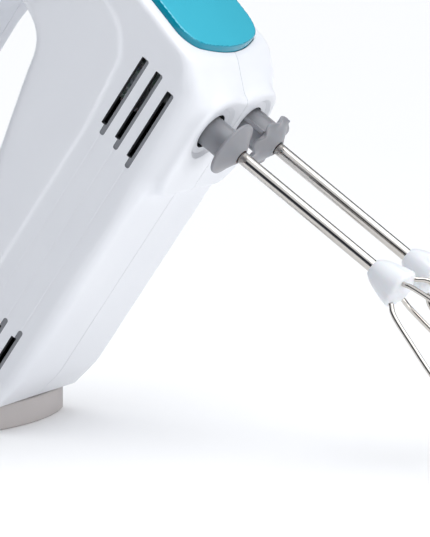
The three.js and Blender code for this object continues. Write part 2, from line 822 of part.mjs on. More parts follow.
function windingEnd(near, far) {
  const ends = [Math.min(near, far), Math.max(near, far)];
  const profile = far > near
    ? [[0, ends[0]], [13, ends[0]], [12.4, ends[1] - 2], [9, ends[1]], [0, ends[1]]]
    : [[0, ends[0]], [9, ends[0]], [12.4, ends[0] + 2], [13, ends[1]], [0, ends[1]]];
  return onMotor(cut(turned(profile, 16), rod(shaftRadius + clearance, -60, 60, 16)));
}

const stackEnd = stackLength / 2 + clearance;
const commutatorLength = 12;
const commutatorRadius = 8.5;
const commutatorRear = -stackEnd - 10 - commutatorLength;

function commutator() {
  const section = toothed(12, commutatorRadius, commutatorRadius - 0.6, 0.86, 0.45, 1);
  const bars = prism(section, commutatorRear, commutatorRear + commutatorLength);
  return onMotor(cut(bars, rod(shaftRadius + clearance, -80, 60, 16)));
}

function fan() {
  const blades = 9;
  let shape = solid(join(rod(6.5, -4, 4, 20), rod(fanRadius, -4, -2.8, 36)));
  for (let i = 0; i < blades; i += 1) {
    const blade = box(5, fanRadius - 0.6, -0.7, 0.7, -3.5, 4).rotateZ((2 * Math.PI * i) / blades);
    shape = shape.add(solid(blade));
  }
  shape = shape.subtract(solid(rod(shaftRadius + clearance, -20, 20, 16)));
  return moved(alongX(geometryOf(shape)), fanMiddle, 0, motorLevel);
}

addPiece(body, 'stator_core', statorCore(), darkSteel);
addPiece(body, 'right_field_coil', fieldCoil(-1), copper);
addPiece(body, 'left_field_coil', fieldCoil(1), copper);
addPiece(body, 'armature_core', armatureCore(), darkSteel);
addPiece(body, 'armature_front_winding', windingEnd(stackEnd, stackEnd + 8), copper);
addPiece(body, 'armature_rear_winding', windingEnd(-stackEnd, -stackEnd - 8), copper);
addPiece(body, 'commutator', commutator(), copper);
addPiece(body, 'cooling_fan', fan(), blackPlastic);

// The rear bracket carries the rear bearing and both brush holders on arms from the core.
const brushAt = stackMiddle + commutatorRear + commutatorLength / 2;
const brushHalf = 2.3;
const holderHalf = brushHalf + clearance + 1.1;
const bracketThickness = 5;
const bracketHalf = coreHalfWidth - 3;

// A square bar across the motor's axis at the brushes, between two distances to one side.
function brushBar(halfSize, near, far, side) {
  const [y0, y1] = side > 0 ? [near, far] : [-far, -near];
  return box(brushAt - halfSize, brushAt + halfSize, y0, y1, motorLevel - halfSize, motorLevel + halfSize);
}

function rearBracket() {
  const rear = rearBearing - bracketThickness / 2;
  const front = stackMiddle - stackLength / 2 - coilDepth - 4 * clearance;
  const [low, high] = [motorLevel - 8, motorLevel + 8];
  let bracket = solid(box(rear, rear + bracketThickness, -bracketHalf, bracketHalf, low, high));
  [-bracketHalf, bracketHalf - 3.5].forEach((y0) => {
    bracket = bracket.add(solid(box(rear, front, y0, y0 + 3.5, low, high)));
  });
  bracket = bracket.subtract(solid(brushBar(holderHalf + clearance, -30, 30, 1)));
  const bore = alongX(rod(bearingRadius + clearance, -200, 0, 20));
  return geometryOf(bracket.subtract(solid(moved(bore, 0, 0, motorLevel))));
}

function brushHolder(side) {
  const near = commutatorRadius + 4.5;
  const inner = brushHalf + clearance;
  return cut(brushBar(holderHalf, near, near + 13, side), brushBar(inner, near - 1, near + 14, side));
}

function brush(side) {
  const near = commutatorRadius + clearance;
  return brushBar(brushHalf, near, near + 12.2, side);
}

addPiece(body, 'rear_bracket', rearBracket(), blackPlastic);
[['right', -1], ['left', 1]].forEach(([name, side]) => {
  addPiece(body, `${name}_brush_holder`, brushHolder(side), bronze);
  addPiece(body, `${name}_carbon_brush`, brush(side), carbon);
});

// ---- Controls -------------------------------------------------------------------------------

function speedKnob() {
  const low = handleTop - wall - 5.7;
  const seat = handleTop + plateProud + clearance;
  const [reach, across] = [neckLength / 2, neckWidth / 2];
  const under = box(knobRest - reach - 5, knobRest + reach + 5, -7, 7, low, low + 3);
  const neck = box(knobRest - reach, knobRest + reach, -across, across, low + 1.5, seat + 1.1);
  const end = knobLength / 2;
  const outside = roundedRectangle(knobRest - end, knobRest + end, seat, seat + knobHeight, 2.5);
  return join(under, neck, slab(outside, -knobWidth / 2, knobWidth / 2, 1, 0, 2));
}

addPiece(body, 'speed_knob', speedKnob(), whitePlastic);

const switchBase = openingTop + wall + clearance;

function speedSwitch() {
  const rear = knobRest - 16;
  return box(rear, rear + knobTravel + 26, -9, 9, switchBase, switchBase + 10);
}

addPiece(body, 'speed_switch', speedSwitch(), blackPlastic);

function ejectButton() {
  return slab(buttonShape(0, buttonLow, ejectTravel - 0.5), -buttonWidth / 2, buttonWidth / 2, 1, 0, 2);
}

const yokeLow = pinCrown + clearance;
const springLow = ribLevel + ribThickness + springWire + clearance;

// The rod runs down the front column to a yoke that lies over both push pins.
function ejectRod() {
  const side = rodWidth / 2;
  const flangeLow = ribLevel + ribThickness + 2 * clearance + springLength;
  const depth = rodDepth / 2;
  const stem = box(ejectAt - side, ejectAt + side, -depth, depth, yokeLow, buttonLow - clearance);
  const flange = moved(rod(springRadius + 0.8, flangeLow, flangeLow + 2, 16), ejectAt, 0, 0);
  const yoke = box(-4, ejectAt + side, -half - 4, half + 4, yokeLow, yokeLow + 4);
  return join(stem, flange, yoke);
}

class Helix extends THREE.Curve {
  constructor(radius, turns, low, high) {
    super();
    Object.assign(this, { radius, turns, low, high });
  }

  getPoint(t, target = new THREE.Vector3()) {
    const angle = 2 * Math.PI * this.turns * t;
    const level = this.low + (this.high - this.low) * t;
    return target.set(this.radius * Math.cos(angle), this.radius * Math.sin(angle), level);
  }
}

addPiece(body, 'eject_button', ejectButton(), greyPlastic);
addPiece(body, 'eject_rod', ejectRod(), blackPlastic);
const springHigh = springLow + springLength - 2 * springWire;
const springCurve = new Helix(springRadius, 5, springLow, springHigh);
addPiece(body, 'eject_spring', moved(tube(springCurve, springWire, 50, 5), ejectAt, 0, 0), steel);

// ---- Electrics ------------------------------------------------------------------------------

const boardRear = tailEnd + 16;
const boardTop = 84 + boardThickness;
const board = box(boardRear, boardRear + 18, -boardHeight / 2, boardHeight / 2, 84, boardTop);
const partSeat = boardTop + clearance + 0.1;
const capacitor = box(boardRear + 2, boardRear + 14, -22, -6, partSeat, partSeat + 10);
const choke = moved(alongY(rod(4.5, 2, 20, 16)), boardRear + 8, 0, partSeat + 4.5);

addPiece(body, 'circuit_board', board, boardGreen);
addPiece(body, 'filter_capacitor', capacitor, capacitorYellow);
addPiece(body, 'suppression_choke', choke, copper);

export default mixer;
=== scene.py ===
import json
from math import cos, pi, radians, sin

import bmesh
import bpy
import numpy as np
from mathutils import Matrix, Vector


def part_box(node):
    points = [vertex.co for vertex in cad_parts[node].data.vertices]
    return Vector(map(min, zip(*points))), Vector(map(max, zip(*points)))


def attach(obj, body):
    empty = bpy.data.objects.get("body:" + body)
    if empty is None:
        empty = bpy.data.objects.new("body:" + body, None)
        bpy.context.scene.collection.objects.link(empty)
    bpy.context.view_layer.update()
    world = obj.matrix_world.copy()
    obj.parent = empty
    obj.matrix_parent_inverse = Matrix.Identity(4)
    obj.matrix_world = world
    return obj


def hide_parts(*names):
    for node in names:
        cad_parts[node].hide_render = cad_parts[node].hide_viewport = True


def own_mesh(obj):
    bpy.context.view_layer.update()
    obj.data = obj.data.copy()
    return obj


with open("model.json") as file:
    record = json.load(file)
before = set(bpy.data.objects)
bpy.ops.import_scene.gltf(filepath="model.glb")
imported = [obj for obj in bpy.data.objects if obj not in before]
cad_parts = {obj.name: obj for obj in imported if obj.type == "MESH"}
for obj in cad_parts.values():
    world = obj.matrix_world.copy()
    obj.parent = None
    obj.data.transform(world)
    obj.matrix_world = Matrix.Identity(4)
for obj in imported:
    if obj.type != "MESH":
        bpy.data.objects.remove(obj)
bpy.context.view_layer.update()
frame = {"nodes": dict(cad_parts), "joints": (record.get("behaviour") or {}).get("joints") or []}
joints = {joint["name"]: joint for joint in frame["joints"]}
millimetre = 0.001
shaftLevel = 48

# The body frame: x forward along the body, y to the left, z towards the grip. Its origin is midway between
# the beaters, and the armature's axis runs at shaftLevel.
forward = Vector(joints["armature_spin"]["axis"]).normalized()
upward = Vector(joints["right_spindle_spin"]["axis"]).normalized()
spindleHalf = abs(joints["right_spindle_spin"]["pos_m"][1]) / millimetre
bodyOrigin = Vector(joints["armature_spin"]["pos_m"]) - upward * (shaftLevel * millimetre)
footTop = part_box("heel_foot")[1].z / millimetre

# Angles in degrees, distances in metres, lens in millimetres.
view = {"azimuth": 27.0, "elevation": 8.557, "distance": 1.6, "lens": 253.7,
        "across": -0.015392, "rise": -0.051991, "farthest": 20}


def aimCamera():
    a, e = radians(view["azimuth"]), radians(view["elevation"])
    towards = Vector((sin(a) * cos(e), -cos(a) * cos(e), sin(e)))
    right = Vector((cos(a), sin(a), 0))
    rise = towards.cross(right)
    data = bpy.data.cameras.new("camera")
    data.lens = view["lens"]
    data.clip_end = view["farthest"]
    camera = bpy.data.objects.new("camera", data)
    spot = bodyOrigin + right * view["across"] + rise * view["rise"] + towards * view["distance"]
    basis = Matrix((right, rise, towards)).transposed().to_4x4()
    camera.matrix_world = Matrix.Translation(spot) @ basis
    bpy.context.scene.collection.objects.link(camera)
    bpy.context.scene.camera = camera


aimCamera()
print("camera placed")


# ---- shared helpers

def linear(code):
    channels = [int(code[i:i + 2], 16) / 255 for i in (1, 3, 5)]
    return [c / 12.92 if c <= 0.04045 else ((c + 0.055) / 1.055) ** 2.4 for c in channels] + [1]


# Adds a node; an input is named by its label, or by i and its number, and takes a value or a socket.
def addNode(tree, kind, settings=None, **inputs):
    node = tree.nodes.new(kind)
    for name, value in (settings or {}).items():
        setattr(node, name, value)
    for name, value in inputs.items():
        socket = node.inputs[int(name[1:]) if name[1:].isdigit() else name.replace("_", " ")]
        if isinstance(value, bpy.types.NodeSocket):
            tree.links.new(value, socket)
        else:
            socket.default_value = value
    return node


# Two close colours drift over driftSize; grain and roughness wander with grainSize (both in millimetres).
def makeMaterial(name, tone, shade, roughness, **more):
    material = bpy.data.materials.new(name)
    material.use_nodes = True
    tree = material.node_tree
    shader = tree.nodes["Principled BSDF"]
    place = addNode(tree, "ShaderNodeTexCoord").outputs["Object"]
    driftScale = 1 / (more.get("driftSize", 30) * millimetre)
    grainScale = 1 / (more.get("grainSize", 0.8) * millimetre)
    drift = addNode(tree, "ShaderNodeTexNoise", None, Vector=place, Scale=driftScale, Detail=3.0)
    colours = addNode(
        tree, "ShaderNodeMix", {"data_type": "RGBA"}, i0=drift.outputs[0], i6=linear(tone), i7=linear(shade))
    tree.links.new(colours.outputs[2], shader.inputs["Base Color"])
    grain = addNode(tree, "ShaderNodeTexNoise", None, Vector=place, Scale=grainScale, Detail=2.0)
    spread = more.get("spread", 0.05)
    limits = {"To_Min": roughness - spread, "To_Max": roughness + spread}
    rough = addNode(tree, "ShaderNodeMapRange", None, Value=grain.outputs[0], **limits)
    tree.links.new(rough.outputs[0], shader.inputs["Roughness"])
    depth = more.get("depth", 0.01) * millimetre
    bump = addNode(tree, "ShaderNodeBump", None, Height=grain.outputs[0], Distance=depth, Strength=0.6)
    tree.links.new(bump.outputs[0], shader.inputs["Normal"])
    for socket, value in more.get("sockets", {}).items():
        shader.inputs[socket].default_value = value
    return material


waxy = {"Subsurface Weight": 0.12, "Subsurface Scale": 0.002, "IOR": 1.53}
clearCoat = {"Coat Weight": 0.6, "Coat Roughness": 0.05}
metal = {"Metallic": 1.0}
materials = {
    # moulded ABS, fine spark-eroded texture: an even satin sheen with no sparkle
    "whiteAbs": makeMaterial(
        "whiteAbs", "#eef0f4", "#e9ebf0", 0.36, grainSize=0.5, depth=0.01, sockets={"IOR": 1.53}),
    # the same ABS inside the shell, unpolished, painted dark grey as painted shade where the inside lies out of the
    # light
    "insideAbs": makeMaterial("insideAbs", "#3f4144", "#333538", 0.7, grainSize=1.5, depth=0.03),
    # the same ABS on the walls of the vents, painted mid-grey as painted shade where they lie out of the light
    "shadedAbs": makeMaterial("shadedAbs", "#8f9196", "#85878c", 0.55, grainSize=0.8, depth=0.02),
    # moulded tinted acrylic, mirror polished: a clear wet-looking top coat
    "tealAcrylic": makeMaterial(
        "tealAcrylic", "#48bdd5", "#44b8d0", 0.16, driftSize=60, grainSize=2, depth=0.001, spread=0.02,
        sockets=clearCoat),
    # the same acrylic on the plate's rim, seen edge on: a deeper blue-green that is painted shade
    "tealEdge": makeMaterial(
        "tealEdge", "#008da4", "#0087a0", 0.18, driftSize=60, grainSize=2, depth=0.001, spread=0.02),
    # moulded elastomer: dull and slightly dusty
    "heelRubber": makeMaterial("heelRubber", "#cbc5c3", "#c2bcba", 0.6, grainSize=0.4, depth=0.02),
    # moulded acetal: even satin with a faint waxy gloss
    "greyAcetal": makeMaterial(
        "greyAcetal", "#909196", "#88898e", 0.38, grainSize=0.6, depth=0.006, sockets=waxy),
    # natural nylon: milky, light enters it a little way
    "nylon": makeMaterial("nylon", "#eceef1", "#e4e7eb", 0.38, grainSize=0.7, depth=0.008, sockets=waxy),
    # drawn and polished stainless steel: long soft highlights broken by fine draw lines
    "polishedSteel": makeMaterial(
        "polishedSteel", "#d2cec8", "#c6c1ba", 0.1, driftSize=9, grainSize=0.35, depth=0.001, spread=0.03,
        sockets=metal),
    # turned steel: brighter rings where the tool left its marks
    "turnedSteel": makeMaterial(
        "turnedSteel", "#a3a4a5", "#969798", 0.3, grainSize=0.4, depth=0.004, sockets=metal),
    # zinc-plated screw steel: cooler and a little dull
    "platedSteel": makeMaterial(
        "platedSteel", "#8d8f93", "#797b80", 0.35, driftSize=3, grainSize=0.3, depth=0.004, sockets=metal),
    # stacked electrical steel: dull, with its sheets as fine lines
    "laminations": makeMaterial(
        "laminations", "#55575a", "#434548", 0.5, grainSize=0.5, depth=0.04, sockets=metal),
    # enamelled winding wire: orange-brown with a varnish gloss
    "enamelledCopper": makeMaterial(
        "enamelledCopper", "#a3582b", "#8a4722", 0.32, driftSize=4, grainSize=0.5, depth=0.06, sockets=metal),
    # sintered bronze: porous and oily
    "sinteredBronze": makeMaterial(
        "sinteredBronze", "#9a7446", "#86633a", 0.48, driftSize=5, grainSize=0.3, depth=0.02, sockets=metal),
    # pressed carbon: black and chalky
    "carbon": makeMaterial("carbon", "#232222", "#1b1a1a", 0.75, grainSize=0.3, depth=0.02),
    # glass-epoxy board under green lacquer: thin gloss over a faint weave
    "boardLaminate": makeMaterial(
        "boardLaminate", "#1f6a45", "#1a5c3c", 0.3, driftSize=8, grainSize=1, depth=0.01),
    # dipped film capacitor: glossy mustard resin
    "dippedResin": makeMaterial("dippedResin", "#c59a2c", "#b98f26", 0.3, driftSize=10, depth=0.01),
    # glass-filled black nylon: dull with faint flow marks
    "blackNylon": makeMaterial("blackNylon", "#1d1e20", "#161719", 0.5, grainSize=0.7, depth=0.01),
}
print("materials made")


# ---- outlines and distances, in millimetres in the body frame

# Points of a closed outline through corners [u, v, radius], with an arc at each corner.
def arcCorners(corners, steps=14):
    points = []
    for i, (u, v, radius) in enumerate(corners):
        here = np.array((u, v), float)
        back = np.array(corners[i - 1][:2]) - here
        on = np.array(corners[(i + 1) % len(corners)][:2]) - here
        back, on = back / np.hypot(*back), on / np.hypot(*on)
        opening = np.arccos(np.clip(back @ on, -1, 1))
        middle = (back + on) / np.hypot(*(back + on))
        centre = here + middle * radius / np.sin(opening / 2)
        reach = radius / np.tan(opening / 2)
        start, end = here + back * reach - centre, here + on * reach - centre
        first = np.arctan2(start[1], start[0])
        turn = (np.arctan2(end[1], end[0]) - first + pi) % (2 * pi) - pi
        for k in range(steps + 1):
            angle = first + turn * k / steps
            points.append(centre + radius * np.array((cos(angle), sin(angle))))
    return np.array(points)


# Distance to a closed outline, negative inside it, at points u, v of any one shape.
def outlineDistance(points, u, v):
    best = np.full(u.shape, 1e9)
    inside = np.zeros(u.shape, bool)
    for (au, av), (bu, bv) in zip(points, np.roll(points, -1, 0)):
        du, dv = bu - au, bv - av
        length = du * du + dv * dv
        if length < 1e-12:
            continue
        t = np.clip(((u - au) * du + (v - av) * dv) / length, 0, 1)
        best = np.minimum(best, (u - au - t * du) ** 2 + (v - av - t * dv) ** 2)
        if dv != 0:
            inside ^= ((av > v) != (bv > v)) & (u < au + (v - av) * du / dv)
    return np.where(inside, -1, 1) * np.sqrt(best)


# The larger of two distances, with their meeting blended over a width; where both are near, the result is larger.
def smoothMax(a, b, blend):
    h = np.clip(0.5 + 0.5 * (a - b) / blend, 0, 1)
    return b + (a - b) * h + blend * h * (1 - h)


def smoothMin(a, b, blend):
    return -smoothMax(-a, -b, blend)


def ramp(value, low, high):
    t = np.clip((value - low) / (high - low), 0, 1)
    return t * t * (3 - 2 * t)


# Two distances that meet in an edge rounded to a radius.
def roundedMeeting(a, b, radius):
    p, q = a + radius, b + radius
    outside = np.sqrt(np.maximum(p, 0) ** 2 + np.maximum(q, 0) ** 2)
    return np.minimum(np.maximum(p, q), 0) + outside - radius


# Values of a regular grid at free points, blended from the eight around each.
def gridSample(values, low, step, points):
    places = (points - low) / step
    base = np.clip(np.floor(places).astype(int), 0, np.array(values.shape) - 2)
    share = places - base
    total = np.zeros(len(points))
    for corner in np.ndindex(2, 2, 2):
        weight = np.prod(np.where(np.array(corner), share, 1 - share), axis=1)
        total += weight * values[tuple((base + corner).T)]
    return total


# How often each vertex of a skin is drawn towards the true surface, and how far at most, in grid steps.
settleSteps = 3
longestMove = 0.4


# The closed skin where a grid of distances passes zero, as four-sided faces, with one vertex in each cell that
# it crosses.
def netSurface(values, low, step):
    inside = values < 0
    shape = np.array(values.shape) - 1
    corners = list(np.ndindex(2, 2, 2))

    def shifted(array, corner):
        return array[tuple(slice(c, c + n) for c, n in zip(corner, shape))]

    count = sum(shifted(inside, c).astype(np.int8) for c in corners)
    active = (count > 0) & (count < 8)
    cells = np.argwhere(active)
    number = np.full(shape, -1)
    number[active] = np.arange(len(cells))
    total, hits = np.zeros((len(cells), 3)), np.zeros(len(cells))
    for first in corners:
        for axis in range(3):
            if first[axis]:
                continue
            second = tuple(c + (n == axis) for n, c in enumerate(first))
            a, b = shifted(values, first)[active], shifted(values, second)[active]
            crossed = (a < 0) != (b < 0)
            t = np.where(crossed, a / np.where(crossed, a - b, 1), 0)
            spot = np.tile(np.array(first, float), (len(cells), 1))
            spot[:, axis] += t
            total += spot * crossed[:, None]
            hits += crossed
    vertices = low + step * (cells + total / hits[:, None])
    slopes = np.gradient(values, step)
    for _ in range(settleSteps):
        height = gridSample(values, low, step, vertices)
        normal = np.stack([gridSample(slope, low, step, vertices) for slope in slopes], 1)
        move = normal * (height / np.maximum((normal ** 2).sum(1), 0.2))[:, None]
        vertices -= np.clip(move, -longestMove * step, longestMove * step)
    faces = []
    for axis in range(3):
        u, v = (axis + 1) % 3, (axis + 2) % 3
        span = [slice(1, n) for n in shape]
        span[axis] = slice(0, shape[axis])
        following = list(span)
        following[axis] = slice(1, shape[axis] + 1)
        here, there = inside[tuple(span)], inside[tuple(following)]
        spots = np.argwhere(here != there) + np.array([int(n != axis) for n in range(3)])
        rising = here[here != there]
        ring = []
        for du, dv in ((-1, -1), (0, -1), (0, 0), (-1, 0)):
            cell = spots.copy()
            cell[:, u] += du
            cell[:, v] += dv
            ring.append(number[tuple(cell.T)])
        quads = np.stack(ring, 1)
        faces.append(np.where(rising[:, None], quads, quads[:, ::-1]))
    return vertices, np.concatenate(faces)


# ---- meshes

sideways = np.array((0.0, 1.0, 0.0))


# Points of the body frame, in millimetres, as metres of the row's frame.
def toWorld(points):
    points = np.asarray(points, float) * millimetre
    along, across, above = points[:, :1], points[:, 1:2], points[:, 2:]
    return np.array(bodyOrigin) + (along * np.array(forward) + across * sideways + above * np.array(upward))


# A mesh object with its faces turned outwards.
def makeObject(name, vertices, faces, material, angle=35):
    mesh = bpy.data.meshes.new(name)
    mesh.from_pydata(np.asarray(vertices).tolist(), [], [list(map(int, face)) for face in faces])
    mesh.materials.append(materials[material])
    piece = bpy.data.objects.new(name, mesh)
    bpy.context.scene.collection.objects.link(piece)
    work = bmesh.new()
    work.from_mesh(mesh)
    bmesh.ops.recalc_face_normals(work, faces=work.faces)
    if work.calc_volume(signed=True) < 0:
        bmesh.ops.reverse_faces(work, faces=work.faces)
    work.to_mesh(mesh)
    work.free()
    shadeSmooth(piece, angle)
    return piece


def shadeSmooth(piece, angle):
    piece.data.shade_smooth()
    piece.data.set_sharp_from_angle(angle=radians(angle))


def bakeModifiers(piece):
    evaluated = piece.evaluated_get(bpy.context.evaluated_depsgraph_get())
    mesh = bpy.data.meshes.new_from_object(evaluated)
    piece.modifiers.clear()
    old = piece.data
    piece.data = mesh
    bpy.data.meshes.remove(old)
    mesh.name = piece.name


# Cuts the cutters away, or joins them; a cut face takes its cutter's material.
def carve(piece, cutters, operation="DIFFERENCE"):
    for cutter in cutters:
        modifier = piece.modifiers.new("carve", "BOOLEAN")
        modifier.operation = operation
        modifier.solver = "MANIFOLD"
        modifier.material_mode = "TRANSFER"
        modifier.object = cutter
    bakeModifiers(piece)
    for cutter in cutters:
        bpy.data.objects.remove(cutter)


def softenEdges(piece, width, segments=3):
    sharpest = 50
    modifier = piece.modifiers.new("soften", "BEVEL")
    modifier.width = width * millimetre
    modifier.segments = segments
    modifier.limit_method = "ANGLE"
    modifier.angle_limit = radians(sharpest)
    bakeModifiers(piece)
    shadeSmooth(piece, sharpest)
    return piece


# An outline in the plane of the two other axes, drawn out along one axis between two values.
def outlineBlock(name, points, low, high, axis, material="whiteAbs", world=toWorld):
    count = len(points)
    order = {"x": (2, 0, 1), "y": (0, 2, 1), "z": (0, 1, 2)}[axis]
    vertices = [[(u, v, end)[i] for i in order] for end in (low, high) for u, v in points]
    faces = [list(range(count))[::-1], list(range(count, 2 * count))]
    faces += [[i, (i + 1) % count, count + (i + 1) % count, count + i] for i in range(count)]
    return makeObject(name, world(vertices), faces, material)


def rectangle(u0, u1, v0, v1, radius, steps=6):
    return arcCorners([(u0, v0, radius), (u1, v0, radius), (u1, v1, radius), (u0, v1, radius)], steps)


def circle(u, v, radius, sides=48):
    turns = [2 * pi * k / sides for k in range(sides)]
    return [(u + radius * cos(turn), v + radius * sin(turn)) for turn in turns]


# A turned piece about an axis through centre, from [radius, level] pairs. alter(angle, radius, level) may move
# a point.
def turnedPiece(name, profile, centre, material, sides=96, alter=None, angle=40, axis="z"):
    vertices, faces, rings = [], [], []
    for radius, level in profile:
        angles = [0] if radius < 1e-6 else [2 * pi * k / sides for k in range(sides)]
        ring = []
        for turn in angles:
            r, height = alter(turn, radius, level) if alter and radius > 0 else (radius, level)
            u, v = r * cos(turn), r * sin(turn)
            offset = {"z": (u, v, height), "x": (height, u, v), "y": (v, height, u)}[axis]
            ring.append(len(vertices))
            vertices.append([c + o for c, o in zip(centre, offset)])
        rings.append(ring)
    pairs = list(zip(rings, rings[1:]))
    if len(rings[0]) > 1 and len(rings[-1]) > 1:
        pairs.append((rings[-1], rings[0]))
    for a, b in pairs:
        for k in range(sides):
            j = (k + 1) % sides
            if len(a) == 1:
                faces.append([a[0], b[k], b[j]])
            elif len(b) == 1:
                faces.append([a[k], b[0], a[j]])
            else:
                faces.append([a[k], b[k], b[j], a[j]])
    return makeObject(name, toWorld(vertices), faces, material, angle)


# A new Geometry Nodes tree with named sizes; returns the tree and its input node.
def newTree(name, sizes):
    tree = bpy.data.node_groups.new(name, "GeometryNodeTree")
    tree.interface.new_socket("Geometry", in_out="INPUT", socket_type="NodeSocketGeometry")
    for size in sizes:
        tree.interface.new_socket(size, in_out="INPUT", socket_type="NodeSocketFloat")
    tree.interface.new_socket("Geometry", in_out="OUTPUT", socket_type="NodeSocketGeometry")
    return tree, tree.nodes.new("NodeGroupInput")


def endTree(tree, geometry, material):
    real = addNode(tree, "GeometryNodeRealizeInstances", None, Geometry=geometry).outputs[0]
    finish = materials[material]
    painted = addNode(tree, "GeometryNodeSetMaterial", None, Geometry=real, Material=finish)
    addNode(tree, "NodeGroupOutput", None, i0=painted.outputs[0])


# Runs a tree on a piece with its sizes in metres, and keeps the result as a plain mesh.
def growTree(piece, tree, sizes, angle=35):
    modifier = piece.modifiers.new("grow", "NODES")
    modifier.node_group = tree
    for item in tree.interface.items_tree:
        if item.in_out == "INPUT" and item.name in sizes:
            modifier[item.identifier] = float(sizes[item.name])
    bakeModifiers(piece)
    shadeSmooth(piece, angle)
    return piece


def pointObject(name, points, chained):
    mesh = bpy.data.meshes.new(name)
    edges = [(i, i + 1) for i in range(len(points) - 1)] if chained else []
    mesh.from_pydata(np.asarray(points).tolist(), edges, [])
    piece = bpy.data.objects.new(name, mesh)
    bpy.context.scene.collection.objects.link(piece)
    return piece


# Round wire that follows a chain of points, with closed ends.
def sweepWire(name, points, radius, material, sides=14):
    tree, given = newTree(name + "Wire", ["Wire radius"])
    path = addNode(tree, "GeometryNodeMeshToCurve", None, i0=given.outputs["Geometry"])
    thickness = given.outputs["Wire radius"]
    ring = addNode(tree, "GeometryNodeCurvePrimitiveCircle", None, Resolution=sides, Radius=thickness)
    swept = addNode(tree, "GeometryNodeCurveToMesh", None, i0=path.outputs[0], i1=ring.outputs[0])
    fill = next(s for s in swept.inputs if s.name == "Fill Caps")
    fill.default_value = True
    endTree(tree, swept.outputs[0], material)
    path = pointObject(name, toWorld(points), True)
    return growTree(path, tree, {"Wire radius": radius * millimetre}, 60)


# ---- housing and front plate

# Sizes in millimetres; a pair says where a change begins and where it is whole.
shell = {
    "sideHalf": 39.6, "panelProud": 1.6, "panelStep": (-0.6, 0.5), "wall": 2.8, "seam": 0.15, "footGap": 0.3,
    "noseBow": 1.5, "bowOver": (-20, 15), "upperEdge": 5.2, "noseEdge": 3.0, "noseOver": (2, 20),
    "noseUpTo": (66, 84), "bellyEdge": 8.6, "bellyUpTo": (25, 36), "bellyOver": (-60, -10),
    "tailFrom": 20, "tailOver": (60, 110), "tailShare": 0.3, "shoulderBlend": 8, "gripBlend": 13,
    "gripLevel": 100, "gripRound": 12, "cowlBlend": 7, "sharp": 32,
    "rear": -190, "low": 4, "front": 46, "left": 46, "high": 158,
    "step": 0.9, "innerStep": 2.4,
}
plate = {
    "proud": 2.6, "seat": 1.2, "gap": 0.3, "edge": 0.35, "pocketEdge": 0.4, "pocketTop": 9, "draft": 0.12,
    "half": 32.4, "low": 25.4, "rise": 11, "corner": 13, "bow": 70, "wideTop": 92, "slimHalf": 14,
    "slimFrom": 134, "bend": 20, "top": 170, "faceFrom": 2, "ridge": (-70, 60), "ridgeFrom": 136,
    "ridgeCorner": 10, "step": 0.6,
}
cowl = {
    "level": 11.5, "top": 24, "rear": -34, "front": 17, "reach": 34.3, "corner": 15, "rearCorner": 13,
    "edge": 2.2, "dip": 2.2, "dipWidth": 7, "dipOver": (-10, 5),
}
sideOutline = arcCorners([
    (17.5, 17, 10), (27.6, 27.5, 14), (39.8, 80, 30), (26, 130, 24), (-10, 151, 24), (-160, 151, 26),
    (-184, 100, 30), (-184, 26, 8), (-140, 17, 40),
])
openingOutline = arcCorners([(-3, 95, 20), (-3, 124, 12), (-136, 124, 16), (-136, 76, 18), (-90, 75, 40)])
stepOutline = arcCorners([
    (-230, 53.3, 4), (-24, 53.3, 60), (8, 56.5, 12), (19, 64, 20), (30, 92, 40), (62, 150, 10), (62, 200, 10),
    (-230, 200, 10),
])
shoulderOutline = arcCorners([
    (-42.2, 0, 1), (42.2, 0, 1), (42.2, 102, 26), (19.5, 151.5, 10), (-19.5, 151.5, 10), (-42.2, 102, 26),
])
gripOutline = arcCorners([(-126, 18, 14), (-24, 18, 14), (-2, 60, 4), (-148, 60, 4)])
cowlOutline = arcCorners([
    (cowl["rear"], -cowl["reach"], cowl["rearCorner"]), (cowl["front"], -cowl["reach"], cowl["corner"]),
    (cowl["front"], cowl["reach"], cowl["corner"]), (cowl["rear"], cowl["reach"], cowl["rearCorner"]),
])


# A regular grid of places in the body frame, with its three coordinates shaped to be combined.
class Grid:
    def __init__(self, low, high, step):
        self.low, self.step = np.array(low, float), step
        counts = np.ceil((np.array(high) - self.low) / step).astype(int) + 1
        self.x, self.y, self.z = [self.low[i] + step * np.arange(counts[i]) for i in range(3)]
        self.nose = self.x[:, None, None]
        self.across = self.y[None, :, None]
        self.up = self.z[None, None, :]

    # Distance to an outline in the plane of two axes, ready to be combined with the third.
    def flat(self, points, plane, mirrored=False):
        first, second = {"xz": (self.x, self.z), "yz": (self.y, self.z), "xy": (self.x, self.y)}[plane]
        u, v = np.meshgrid(first, second, indexing="ij")
        distance = outlineDistance(points, u, np.abs(v) if mirrored else v)
        return {"xz": distance[:, None, :], "yz": distance[None], "xy": distance[:, :, None]}[plane]

    # The side view's outline, bowed slightly across the nose.
    def sideView(self):
        bow = shell["noseBow"] * (np.abs(self.across) / shell["sideHalf"]) ** 2
        return self.flat(sideOutline, "xz") + bow * ramp(self.nose, *shell["bowOver"])


